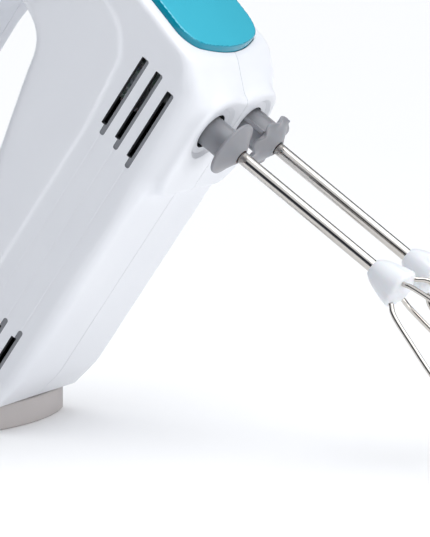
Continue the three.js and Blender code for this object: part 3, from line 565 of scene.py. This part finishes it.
# Distance to the outside of the whole body, before its small cuts.
def bodyField(grid):
    side = np.maximum(grid.sideView(), -grid.flat(openingOutline, "xz"))
    rise = ramp(-grid.flat(stepOutline, "xz"), *shell["panelStep"])
    width = shell["sideHalf"] + shell["panelProud"] * rise
    nose = ramp(grid.nose, *shell["noseOver"]) * (1 - ramp(grid.up, *shell["noseUpTo"]))
    belly = (1 - ramp(grid.up, *shell["bellyUpTo"])) * ramp(grid.nose, *shell["bellyOver"])
    belly = belly + ramp(shell["tailFrom"] - grid.nose, *shell["tailOver"]) * shell["tailShare"]
    radius = shell["upperEdge"] + (shell["noseEdge"] - shell["upperEdge"]) * nose
    radius = radius + (shell["bellyEdge"] - radius) * np.clip(belly, 0, 1)
    body = roundedMeeting(side, np.abs(grid.across) - width, radius)
    body = smoothMax(body, grid.flat(shoulderOutline, "yz"), shell["shoulderBlend"])
    relief = smoothMax(grid.flat(gripOutline, "xy", True), shell["gripLevel"] - grid.up, shell["gripRound"])
    body = smoothMax(body, -relief, shell["gripBlend"])
    waist = cowl["dip"] * np.exp(-(grid.across / cowl["dipWidth"]) ** 2) * ramp(grid.nose, *cowl["dipOver"])
    plan = grid.flat(cowlOutline, "xy") + waist
    flange = roundedMeeting(plan, np.maximum(cowl["level"] - grid.up, grid.up - cowl["top"]), cowl["edge"])
    body = smoothMin(body, flange, shell["cowlBlend"])
    row = bodyOrigin.z / millimetre + grid.nose * forward.z + grid.up * upward.z
    return np.maximum(body, footTop + shell["footGap"] - row)


# The layer over the nose and the top of the handle that the front plate fills, grown by a gap.
def plateField(grid, gap, inner, outer, edge):
    wide, slim, low = plate["half"] + gap, plate["slimHalf"] + gap, plate["low"] - gap
    bend, side, neck, top = plate["bend"], low + plate["rise"], plate["slimFrom"], plate["top"]
    face = grid.flat(arcCorners([
        (-wide, side, plate["corner"]), (0, low, plate["bow"]), (wide, side, plate["corner"]),
        (wide, plate["wideTop"], bend), (slim, neck, bend), (slim, top, 2), (-slim, top, 2),
        (-slim, neck, bend), (-wide, plate["wideTop"], bend),
    ]), "yz")
    rear, front = plate["ridge"]
    ridge = grid.flat(rectangle(rear - gap, front, -slim, slim, plate["ridgeCorner"], 14), "xy")
    region = np.minimum(np.maximum(face, plate["faceFrom"] - grid.nose),
                        np.maximum(ridge, plate["ridgeFrom"] - grid.up))
    middle, half = (outer + inner) / 2, (outer - inner) / 2
    height = grid.sideView()
    lean = plate["draft"] * np.maximum(height, 0) if gap == 0 else 0
    return roundedMeeting(region + lean, np.abs(height - middle) - half, edge)


def skinOf(name, values, grid, material, angle=35):
    vertices, faces = netSurface(values, grid.low, grid.step)
    return makeObject(name, toWorld(vertices), faces, material, angle)


# A slab longer and taller than the body, between two places across it.
def halfSpace(name, low, high):
    return outlineBlock(name, [(-260, -60), (120, -60), (120, 260), (-260, 260)], low, high, "y")


vents = {
    "width": 2.4, "levels": (28.2, 37, 45.6), "front": ((-28.6, 9.9), (-25.6, 13.6), (-24.4, 14.7)),
    "rear": (-150, -118), "round": 1.15, "ledge": 1.5, "shelf": 1.6, "end": 4.5, "holeRound": 0.35,
    "holeFrom": 1, "lip": 0.6, "behind": 1.6, "behindRound": 0.3, "clear": 4,
    "groove": {"depth": 1.0, "floor": 0.4, "half": 1.6, "clear": 2, "overlap": 1},
}


# Each vent is cut to a ledge, then through beside it; behind its upper edge the wall is thinned to a lip. A
# groove joins each front vent to the rear one.
def ventCutters(side):
    cutters = []
    face, groove = shell["sideHalf"], vents["groove"]
    inside, outside = face - shell["wall"] - vents["clear"], face + vents["clear"]

    def cut(outline, deep, shallow, material):
        cutters.append(outlineBlock("vent", outline, *sorted((side * deep, side * shallow)), "y", material))

    for level, (rear, front) in zip(vents["levels"], vents["front"]):
        low, high = level - vents["width"] / 2, level + vents["width"] / 2
        shelf = low + vents["shelf"]
        for x0, x1, trimRear, trimFront in ((rear, front, vents["end"], 0), (*vents["rear"], 0, vents["end"])):
            # The recess takes the painted mid-grey shade, and the cuts through the wall take the painted dark shade.
            cut(rectangle(x0, x1, low, high, vents["round"]), face - vents["ledge"], outside, "shadedAbs")
            x0, x1 = x0 + trimRear, x1 - trimFront
            hole = rectangle(x0, x1, shelf, high, vents["holeRound"])
            cut(hole, inside, face - vents["holeFrom"], "insideAbs")
            behind = rectangle(x0, x1, shelf, high + vents["behind"], vents["behindRound"])
            cut(behind, inside, face - vents["lip"], "insideAbs")
        bottom, reach = face - groove["depth"], groove["clear"]
        slope = (groove["half"] - groove["floor"]) / groove["depth"]
        spread = groove["floor"] + slope * (groove["depth"] + reach)
        wall = [(bottom, level - groove["floor"]), (bottom, level + groove["floor"]),
                (face + reach, level + spread), (face + reach, level - spread)]
        channel = [(side * y, z) for y, z in wall]
        ends = vents["rear"][1] - groove["overlap"], rear + groove["overlap"]
        cutters.append(outlineBlock("groove", channel, *ends, "x"))
    return cutters


knob = {"at": -56, "travel": 24, "length": 20, "width": 16, "height": 6, "neck": 8, "seat": 153.9,
        "slotHalf": 3, "slotRound": 2.5, "slotSpare": 1, "slotFloor": 138, "slotTop": 170}
button = {"at": 8, "length": 18, "width": 16, "proud": 5.5, "low": 131, "soften": 1.3,
          "gap": 0.3, "holeFloor": 120, "holeTop": 20}
sockets = {"radius": 8.5, "rim": 11.5, "mouth": 13.4, "sink": 1.2, "depth": 30, "below": 4}
screws = {"at": [(-42, 24.4), (-140, 30), (-160, 100), (-92, 137.5), (24, 98)], "bore": 3.4, "seat": 10,
          "boreEnd": 60}
handleSlope = {"at": -10, "level": 151, "fall": 21 / 36}


# The button's side view, with its top along the slope of the handle.
def buttonOutline(gap, low, proud, radius=3):
    half = button["length"] / 2
    ends = button["at"] - half - gap, button["at"] + half + gap
    top = [handleSlope["level"] - handleSlope["fall"] * (x - handleSlope["at"]) + proud for x in ends]
    (rear, front), (rearTop, frontTop) = ends, top
    return arcCorners([(rear, low, 1), (front, low, 1), (front, frontTop, radius), (rear, rearTop, radius)], 8)


def controlCutters():
    spare = knob["neck"] / 2 + knob["slotSpare"]
    ends = knob["at"] - spare, knob["at"] + knob["travel"] + spare
    slot = rectangle(*ends, -knob["slotHalf"], knob["slotHalf"], knob["slotRound"])
    half = button["width"] / 2 + button["gap"]
    hole = buttonOutline(button["gap"], button["holeFloor"], button["holeTop"])
    return [outlineBlock("knobSlot", slot, knob["slotFloor"], knob["slotTop"], "z"),
            outlineBlock("buttonHole", hole, -half, half, "y")]


# Both halves from one skin: hollowed out, parted by the seam, and less the plate's pocket, the vents, the
# holes of the controls, the sockets and the screws' bores.
def makeHousing():
    margin, high = 3.2 * shell["step"], (shell["front"], shell["left"], shell["high"])
    grid = Grid((shell["rear"], -margin, shell["low"]), high, shell["step"])
    outer = np.maximum(bodyField(grid), -margin / 2 - grid.across)
    inner = Grid((shell["rear"], -5, shell["low"]), high, shell["innerStep"])
    hollow = np.maximum(bodyField(inner) + shell["wall"], -3.5 - inner.across)
    pocketGrid = Grid((-82, -36, 24), (52, 36, 164), plate["step"])
    deepest = -plate["seat"] - plate["gap"]
    pocket = plateField(pocketGrid, plate["gap"], deepest, plate["pocketTop"], plate["pocketEdge"])
    vertices, faces = netSurface(outer, grid.low, grid.step)
    hollowVertices, hollowFaces = netSurface(hollow, inner.low, inner.step)
    mouth = cowl["level"] + sockets["sink"]
    dish = [(0, sockets["below"]), (sockets["mouth"], sockets["below"]), (sockets["mouth"], cowl["level"]),
            (sockets["rim"], mouth), (0, mouth)]
    pieces = []
    for name, side in (("rightHousing", -1), ("leftHousing", 1)):
        flip = np.array((1, side, 1))
        piece = makeObject(name, toWorld(vertices * flip), faces, "whiteAbs")
        # The inside of the shell takes the painted dark shade.
        void = makeObject("void", toWorld(hollowVertices * flip), hollowFaces, "insideAbs")
        gap = halfSpace("gap", *sorted((-side * 20, side * shell["seam"])))
        cutters = [void, gap, skinOf("pocket", pocket, pocketGrid, "whiteAbs")]
        cutters += ventCutters(side) + controlCutters()
        middle = side * spindleHalf
        bore = circle(0, middle, sockets["radius"])
        # The socket's bore takes the painted dark shade; its rim stays white.
        cutters.append(outlineBlock("socket", bore, 0, sockets["depth"], "z", "insideAbs"))
        cutters.append(turnedPiece("socketRim", dish, (0, middle, 0), "whiteAbs"))
        if side > 0:
            for x, z in screws["at"]:
                bore = circle(x, z, screws["bore"], 32)
                cutters.append(outlineBlock("screwBore", bore, screws["seat"], screws["boreEnd"], "y"))
        carve(piece, cutters)
        shadeSmooth(piece, shell["sharp"])
        pieces.append(piece)
    return pieces


rightHousing, leftHousing = makeHousing()
print("housing", [len(o.data.polygons) for o in (rightHousing, leftHousing)])


# The plate, with its rim, which faces sideways, down or back, in a darker teal that is painted shade.
def makePlate():
    grid = Grid((-76, -36, 24), (46, 36, 158), plate["step"])
    values = plateField(grid, 0, -plate["seat"], plate["proud"], plate["edge"])
    piece = skinOf("frontPlate", values, grid, "tealAcrylic", 45)
    carve(piece, controlCutters())
    piece.data.materials.append(materials["tealEdge"])
    rim, last = {"sideways": 0.6, "down": 0.6, "back": 0.75}, len(piece.data.materials) - 1
    # Faces turned sideways, down or back take the painted shade of the rim.
    for face in piece.data.polygons:
        ahead, above = face.normal.dot(forward), face.normal.dot(upward)
        if abs(face.normal.y) > rim["sideways"] or above < -rim["down"] or ahead < -rim["back"]:
            face.material_index = last
    shadeSmooth(piece, 40)
    return piece


frontPlate = makePlate()
print("front plate", len(frontPlate.data.polygons))

# ---- heel foot

foot = {"length": 48, "width": 68, "bulge": 6, "front": 7, "corner": 9, "soften": 1.0}


# Millimetres of the row's own frame as metres.
def rowPoints(points):
    return np.asarray(points, float) * millimetre


# The foot from below: square at the heel with rounded corners, and bowed at the front.
def footOutline():
    end, side, corner = foot["length"] / 2, foot["width"] / 2, foot["corner"]
    points = [(-end, -side + corner)]

    def bend(control, target, steps):
        start = np.array(points[-1])
        for k in range(1, steps + 1):
            t = k / steps
            early, late = (1 - t) ** 2 * start, t * t * np.array(target)
            points.append(tuple(early + 2 * t * (1 - t) * np.array(control) + late))

    bend((-end, -side), (-end + corner, -side), 8)
    points.append((end - foot["front"], -side))
    bend((end + foot["bulge"], 0), (end - foot["front"], side), 28)
    points.append((-end + corner, side))
    bend((-end, side), (-end, side - corner), 8)
    return points


heelFoot = outlineBlock("heelFoot", footOutline(), 0, footTop, "z", "heelRubber", rowPoints)
softenEdges(heelFoot, foot["soften"])

# ---- beaters

beater = {
    "barrel": 7, "barrelTop": 20.5, "disc": 12.65, "lip": 1.4, "bore": 3.2, "stem": 2.8, "stemTop": 47.5,
    "hubTop": -79, "hubHeight": 17, "hub": 9.1, "stemInHub": 12, "flute": 0.55, "wire": 1.1, "tip": -209,
    "innerTip": 2.5, "folds": 8, "foldDepth": 0.9, "foldFrom": 9, "foldOver": 3.6, "foldRise": 0.5,
    "ribs": 4, "ribProud": 0.9, "ribTurn": 0.5, "ribHalf": (0.7, 1.2), "ribTop": 20, "ribFade": (0.5, 1.5),
}
wireSide = [(6.8, -92.8), (7.6, -95.6), (10.2, -99), (15.4, -114), (21.4, -136), (23.5, -166), (20.3, -188),
            (12.5, -202.5)]


# A loop of wire down one side, round the tip and up the other: a smooth curve through its points, whose pace
# follows the root of their spacing so that it never overshoots.
def wirePoints(angle, tip, centre):
    flat = list(wireSide) + [(0, tip)] + [(-r, z) for r, z in reversed(wireSide)]
    flat = [(2 * flat[0][0] - flat[1][0], 2 * flat[0][1] - flat[1][1])] + flat
    flat.append((2 * flat[-1][0] - flat[-2][0], 2 * flat[-1][1] - flat[-2][1]))
    flat = np.array(flat, float)
    points = []
    for p0, p1, p2, p3 in zip(flat, flat[1:], flat[2:], flat[3:]):
        t0 = 0.0
        t1 = t0 + np.hypot(*(p1 - p0)) ** 0.5
        t2 = t1 + np.hypot(*(p2 - p1)) ** 0.5
        t3 = t2 + np.hypot(*(p3 - p2)) ** 0.5
        for t in np.linspace(t1, t2, 12, endpoint=False):
            a1 = ((t1 - t) * p0 + (t - t0) * p1) / (t1 - t0)
            a2 = ((t2 - t) * p1 + (t - t1) * p2) / (t2 - t1)
            a3 = ((t3 - t) * p2 + (t - t2) * p3) / (t3 - t2)
            b1 = ((t2 - t) * a1 + (t - t0) * a2) / (t2 - t0)
            b2 = ((t3 - t) * a2 + (t - t1) * a3) / (t3 - t1)
            points.append(((t2 - t) * b1 + (t - t1) * b2) / (t2 - t1))
    points.append(flat[-2])
    turn = radians(angle)
    return [(centre[0] + r * cos(turn), centre[1] + r * sin(turn), z) for r, z in points]


# Pleats in the rim and ribs up the barrel, on the collar that fits only the left socket.
def pleats(angle, radius, height):
    if radius > beater["foldFrom"]:
        share = (radius - beater["foldFrom"]) / beater["foldOver"]
        wave = cos(beater["folds"] * angle)
        depth = beater["foldDepth"] * share
        return radius - depth * max(0, -wave) ** 2, height + depth * wave - beater["foldRise"] * share
    if height > beater["lip"] + 0.5:
        pitch, (crest, foot) = 2 * pi / beater["ribs"], beater["ribHalf"]
        near = (angle - beater["ribTurn"]) % pitch
        near = min(near, pitch - near) * radius
        fade = float(ramp(beater["ribTop"] - height, *beater["ribFade"]))
        return radius + beater["ribProud"] * float(ramp(-near, -foot, -crest)) * fade, height
    return radius, height


def makeCollar(name, centre, alter):
    barrel, disc, lip, top = beater["barrel"], beater["disc"], beater["lip"], beater["barrelTop"]
    crown = [(beater["bore"], top), (barrel - 0.9, top), (barrel - 0.3, top - 0.2), (barrel, top - 0.6)]
    steps = [(barrel, h) for h in np.linspace(lip + 0.9, top - 0.9, 20)]
    flare = [(barrel + 0.1, lip + 0.45), (barrel + 0.35, lip + 0.15), (barrel + 0.9, lip)]
    spread = [(r, lip) for r in np.linspace(barrel + 1.6, disc - 1.2, 7)]
    rim = [(disc - 0.5, lip), (disc - 0.2, lip - 0.1), (disc, lip - 0.4), (disc, 0.35), (disc - 0.15, 0.08),
           (disc - 0.5, -0.1)]
    slope = [(disc - 0.5 - (disc - 4.6) * t, -0.1 - 4.5 * t ** 1.15) for t in np.linspace(0.08, 1, 12)]
    end = [(beater["bore"] + 0.5, -4.8), (beater["bore"], -4.8)]
    profile = crown + steps[::-1] + flare + spread + rim + slope + end
    return turnedPiece(name + "Collar", profile, centre, "greyAcetal", 192, alter, 38)


# The stem, with the groove near its top that a spindle grips.
def makeStem(name, centre):
    low, high, radius = beater["hubTop"] - beater["stemInHub"], beater["stemTop"], beater["stem"]
    neck = radius - 0.5
    shaft = [(0, low), (radius, low), (radius, high - 4.2), (neck, high - 3.6), (neck, high - 2.6),
             (radius, high - 2), (radius, high - 0.6), (radius - 0.6, high), (0, high)]
    return turnedPiece(name + "Stem", shaft, centre, "polishedSteel", 64)


# The hub, with four flutes between the wires that fade towards its top.
def makeHub(name, centre, phase):
    top, base, widest = beater["hubTop"], beater["hubTop"] - beater["hubHeight"], beater["hub"]
    cap = [(0, top), (3.4, top), (3.9, top - 0.15), (4.2, top - 0.5), (4.8, top - 1.3), (5.7, top - 2.9),
           (6.6, top - 5), (7.7, top - 8.6), (8.5, top - 11.6), (8.95, top - 13.6), (widest, top - 14.2),
           (widest, base + 2.4), (8.9, base + 1.7), (8.3, base + 1.1), (7.2, base + 0.6), (5.5, base - 0.2),
           (3.5, base - 0.9), (0, base - 1.4)]

    def flutes(angle, radius, height):
        share = float(ramp(top - height, 6, 14)) * float(ramp(radius, 3, 7))
        return radius - beater["flute"] * share * max(0, cos(4 * (angle - radians(phase)) + pi)) ** 6, height

    return turnedPiece(name + "Hub", cap, centre, "nylon", 96, flutes, 40)


def makeBeater(name, side, phase):
    centre, tip = (0, side * spindleHalf, 0), beater["tip"]
    pieces = [makeCollar(name, centre, pleats if side > 0 else None), makeStem(name, centre),
              makeHub(name, centre, phase)]
    for loop, turn, end in (("OuterLoop", phase, tip), ("InnerLoop", phase + 90, tip + beater["innerTip"])):
        pieces.append(sweepWire(name + loop, wirePoints(turn, end, centre), beater["wire"], "polishedSteel"))
    return pieces


rightBeater = makeBeater("rightBeater", -1, 41)
leftBeater = makeBeater("leftBeater", 1, 4)
print("beaters made")

# ---- controls, screws, gland and spring

ridges = {"count": 5, "pitch": 2.8, "radius": 0.55, "length": 12, "sunk": 0.35}
knobShape = {"side": 1.2, "crown": 40, "neckHalf": 2.4, "neckLow": 144, "underHalf": (9, 7), "under": (142.5, 145.5)}
spring = {"low": 98.25, "high": 109.95, "turns": 5, "radius": 4.6, "wire": 0.45, "foot": 97.8, "steps": 30}


# The knob: a crowned cap with ridges across it, on a neck through the slot and a plate below.
def makeKnob():
    at, half, across, seat = knob["at"], knob["length"] / 2, knob["width"] / 2, knob["seat"]
    top = seat + knob["height"]
    edge = top - knobShape["side"]
    crest = arcCorners([(at - half, seat, 0.8), (at + half, seat, 0.8), (at + half, edge, 2),
                        (at, top, knobShape["crown"]), (at - half, edge, 2)], 8)
    cap = outlineBlock("speedKnob", crest, -across, across, "y")
    softenEdges(cap, 0.9)
    thick, (long, wide) = knobShape["neckHalf"], knobShape["underHalf"]
    neck = rectangle(at - knob["neck"] / 2, at + knob["neck"] / 2, -thick, thick, 1)
    under = rectangle(at - long, at + long, -wide, wide, 1.5)
    carve(cap, [outlineBlock("neck", neck, knobShape["neckLow"], seat + 2, "z"),
                outlineBlock("under", under, *knobShape["under"], "z")], "UNION")
    tree, given = newTree("knobRidges", ["Count", "Pitch", "Ridge radius", "Ridge length"])
    sizes = given.outputs
    offset = addNode(tree, "ShaderNodeCombineXYZ", None, X=sizes["Pitch"]).outputs[0]
    count = addNode(tree, "FunctionNodeFloatToInt", None, i0=sizes["Count"]).outputs[0]
    line = addNode(tree, "GeometryNodeMeshLine", None, Count=count, Offset=offset).outputs[0]
    bar = addNode(tree, "GeometryNodeMeshCylinder", None, Vertices=16, Radius=sizes["Ridge radius"],
                  Depth=sizes["Ridge length"]).outputs[0]
    row = addNode(tree, "GeometryNodeInstanceOnPoints", None, Points=line, Instance=bar, Rotation=(pi / 2, 0, 0))
    endTree(tree, row.outputs[0], "whiteAbs")
    bars = pointObject("ridges", [(0, 0, 0)], False)
    growTree(bars, tree, {"Count": ridges["count"], "Pitch": ridges["pitch"] * millimetre,
                          "Ridge radius": ridges["radius"] * millimetre,
                          "Ridge length": ridges["length"] * millimetre})
    start = toWorld([(at - ridges["pitch"] * (ridges["count"] - 1) / 2, 0, top - ridges["sunk"])])[0]
    turn = Matrix((forward, Vector(sideways), upward)).transposed().to_4x4()
    bars.data.transform(Matrix.Translation(Vector(start)) @ turn)
    carve(cap, [bars], "UNION")
    cap.data.materials.clear()
    cap.data.materials.append(materials["whiteAbs"])
    shadeSmooth(cap, 40)
    return cap


def makeButton():
    half, outline = button["width"] / 2, buttonOutline(0, button["low"], button["proud"])
    return softenEdges(outlineBlock("ejectButton", outline, -half, half, "y", "greyAcetal"), button["soften"], 4)


# Pan heads with a cross recess, one at each seat.
def makeScrews():
    profile = [(0, -1.2), (1.5, -1.2), (1.5, 0), (2.9, 0), (2.95, 0.3), (2.9, 1.2), (2.5, 1.8), (1.4, 2.2),
               (0, 2.3)]
    head = turnedPiece("screwHead", profile, (0, 0, 0), "platedSteel", 32, None, 40, "y")
    head.data.transform(Matrix.Translation(-bodyOrigin))
    arms = []
    for wide, tall in ((0.35, 1.6), (1.6, 0.35)):
        corners = [(-wide, -tall), (wide, -tall), (wide, tall), (-wide, tall)]
        arms.append(outlineBlock("arm", corners, 1.1, 4, "y", "platedSteel", rowPoints))
    carve(head, arms)
    tree, given = newTree("screwHeads", ["Head scale"])
    shape = addNode(tree, "GeometryNodeObjectInfo", None, Object=head)
    placed = addNode(tree, "GeometryNodeInstanceOnPoints", None, Points=given.outputs["Geometry"],
                     Instance=shape.outputs["Geometry"], Scale=given.outputs["Head scale"])
    endTree(tree, placed.outputs[0], "platedSteel")
    seats = toWorld([(x, screws["seat"] + 0.3, z) for x, z in screws["at"]])
    piece = growTree(pointObject("housingScrews", seats, False), tree, {"Head scale": 1.0})
    bpy.data.objects.remove(head)
    return piece


def makeGland():
    profile = [(3.4, 6), (6, 6), (6, 0), (8.7, 0), (9, -0.3), (9, -2.0), (8.7, -2.5), (8, -2.8), (4.6, -3),
               (3.9, -2.7), (3.4, -2.2)]
    return turnedPiece("cordGland", profile, (-184.3, 0, 78), "greyAcetal", 64, None, 35, "x")


def makeSpring():
    count = spring["steps"] * spring["turns"]
    points = []
    for k in range(count + 1):
        t = k / count
        angle = 2 * pi * spring["turns"] * t
        across = spring["radius"] * sin(angle)
        rise = spring["low"] + (spring["high"] - spring["low"]) * t
        points.append((button["at"] + spring["radius"] * cos(angle), across, rise))
    return sweepWire("ejectSpring", points, spring["wire"], "turnedSteel", 10)


speedKnob, ejectButton = makeKnob(), makeButton()
housingScrews, cordGland, ejectSpring = makeScrews(), makeGland(), makeSpring()
print("controls made")

# ---- finishes of the pieces that stay as they are

bronzeParts = [f"{side}_{part}" for side in ("right", "left")
               for part in ("lower_bushing", "upper_bushing", "brush_holder")]
carried = {
    "blackNylon": ["gearbox_frame", "cooling_fan", "rear_bracket", "speed_switch", "eject_rod"],
    "nylon": ["right_worm_wheel", "left_worm_wheel", "right_push_pin", "left_push_pin"],
    "turnedSteel": ["motor_shaft", "right_spindle", "left_spindle"],
    "laminations": ["stator_core", "armature_core"],
    "enamelledCopper": ["right_field_coil", "left_field_coil", "armature_front_winding",
                        "armature_rear_winding", "commutator", "suppression_choke"],
    "sinteredBronze": bronzeParts + ["nose_bearing", "front_bearing", "rear_bearing"],
    "carbon": ["right_carbon_brush", "left_carbon_brush"],
    "boardLaminate": ["circuit_board"],
    "dippedResin": ["filter_capacitor"],
}
for material, nodes in carried.items():
    for name in nodes:
        for place in frame["nodes"][name].material_slots:
            place.material = materials[material]


def settle(piece, body, slotName, *nodes):
    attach(piece, body)
    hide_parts(*nodes)


settle(rightHousing, "housing", "white_plastic", "right_housing")
settle(leftHousing, "housing", "white_plastic", "left_housing")
settle(frontPlate, "housing", "teal_plastic", "front_plate")
settle(heelFoot, "housing", "foot_plastic", "heel_foot")
settle(cordGland, "housing", "grey_plastic", "cord_gland")
settle(housingScrews, "housing", "dark_steel", *[f"housing_screw_{i}" for i in range(1, 6)])
settle(ejectSpring, "housing", "steel", "eject_spring")
settle(speedKnob, "speed_control", "white_plastic", "speed_knob")
settle(ejectButton, "ejector", "grey_plastic", "eject_button")
beaterSlots = {"collar": "grey_plastic", "stem": "polished_steel", "hub": "nylon",
               "outer_loop": "polished_steel", "inner_loop": "polished_steel"}
for side, pieces in (("right", rightBeater), ("left", leftBeater)):
    for piece, (part, slotName) in zip(pieces, beaterSlots.items()):
        settle(piece, f"{side}_beater", slotName, f"{side}_beater_{part}")
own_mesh(ejectSpring)

# ---- floor and light

# The surroundings' tone by the height of the direction, from the horizon up to overhead: dim near the horizon,
# a dark band that the steel picks up, then a bright ceiling.
studio = {
    "floorHalf": 30, "strength": 1.08,
    "sky": ((0.0, "#585c65"), (0.2, "#52565f"), (0.3, "#2c3037"), (0.56, "#2c3037"), (0.68, "#eceff5"),
            (1.0, "#f6f8fc")),
}
# Each light: kind, place and target in metres, power and its own settings.
lights = {
    "sun": ("SUN", (0.5, 0.05, 1.0), (0, 0, 0), 1.6, {"angle": radians(65)}),
    "fill": ("AREA", (0.75, -0.16, 0.04), (0.1, 0, 0.08), 1.5, {"size": 0.45}),
    "front": ("AREA", (0.95, 0.1, 0.6), (0.2, 0, 0.12), 0.8, {"size": 0.6}),
}


def makeFloor():
    half = studio["floorHalf"]
    mesh = bpy.data.meshes.new("floor")
    corners = [(-half, -half, 0), (half, -half, 0), (half, half, 0), (-half, half, 0)]
    mesh.from_pydata(corners, [], [(0, 1, 2, 3)])
    floor = bpy.data.objects.new("floor", mesh)
    bpy.context.scene.collection.objects.link(floor)
    # matt paper from a roll
    mesh.materials.append(
        makeMaterial("paperSweep", "#fbfbfb", "#f9f9f9", 0.9, driftSize=400, grainSize=3, depth=0.01))


def makeLight(name, kind, spot, target, power, settings):
    data = bpy.data.lights.new(name, kind)
    data.energy = power
    for setting, value in settings.items():
        setattr(data, setting, value)
    light = bpy.data.objects.new(name, data)
    bpy.context.scene.collection.objects.link(light)
    light.location = spot
    light.rotation_euler = (Vector(target) - Vector(spot)).to_track_quat("-Z", "Y").to_euler()


# The camera sees white where the floor ends; the sky only lights the piece and shows in it.
def makeWorld():
    world = bpy.data.worlds.new("studio")
    world.use_nodes = True
    bpy.context.scene.world = world
    tree = world.node_tree
    background = tree.nodes["Background"]
    direction = addNode(tree, "ShaderNodeTexCoord").outputs["Generated"]
    height = addNode(tree, "ShaderNodeSeparateXYZ", None, Vector=direction).outputs["Z"]
    sky = addNode(tree, "ShaderNodeValToRGB", None, i0=height)
    stops = sky.color_ramp.elements
    while len(stops) < len(studio["sky"]):
        stops.new(0.5)
    for stop, (height, code) in zip(stops, studio["sky"]):
        stop.position = height
        stop.color = linear(code)
    seen = addNode(tree, "ShaderNodeLightPath").outputs["Is Camera Ray"]
    shown = addNode(tree, "ShaderNodeMix", {"data_type": "RGBA"}, i0=seen, i6=sky.outputs[0], i7=[1, 1, 1, 1])
    tree.links.new(shown.outputs[2], background.inputs["Color"])
    background.inputs["Strength"].default_value = studio["strength"]


makeFloor()
makeWorld()
for name, light in lights.items():
    makeLight(name, *light)
bpy.context.scene.view_settings.view_transform = "Standard"
print("studio lit")
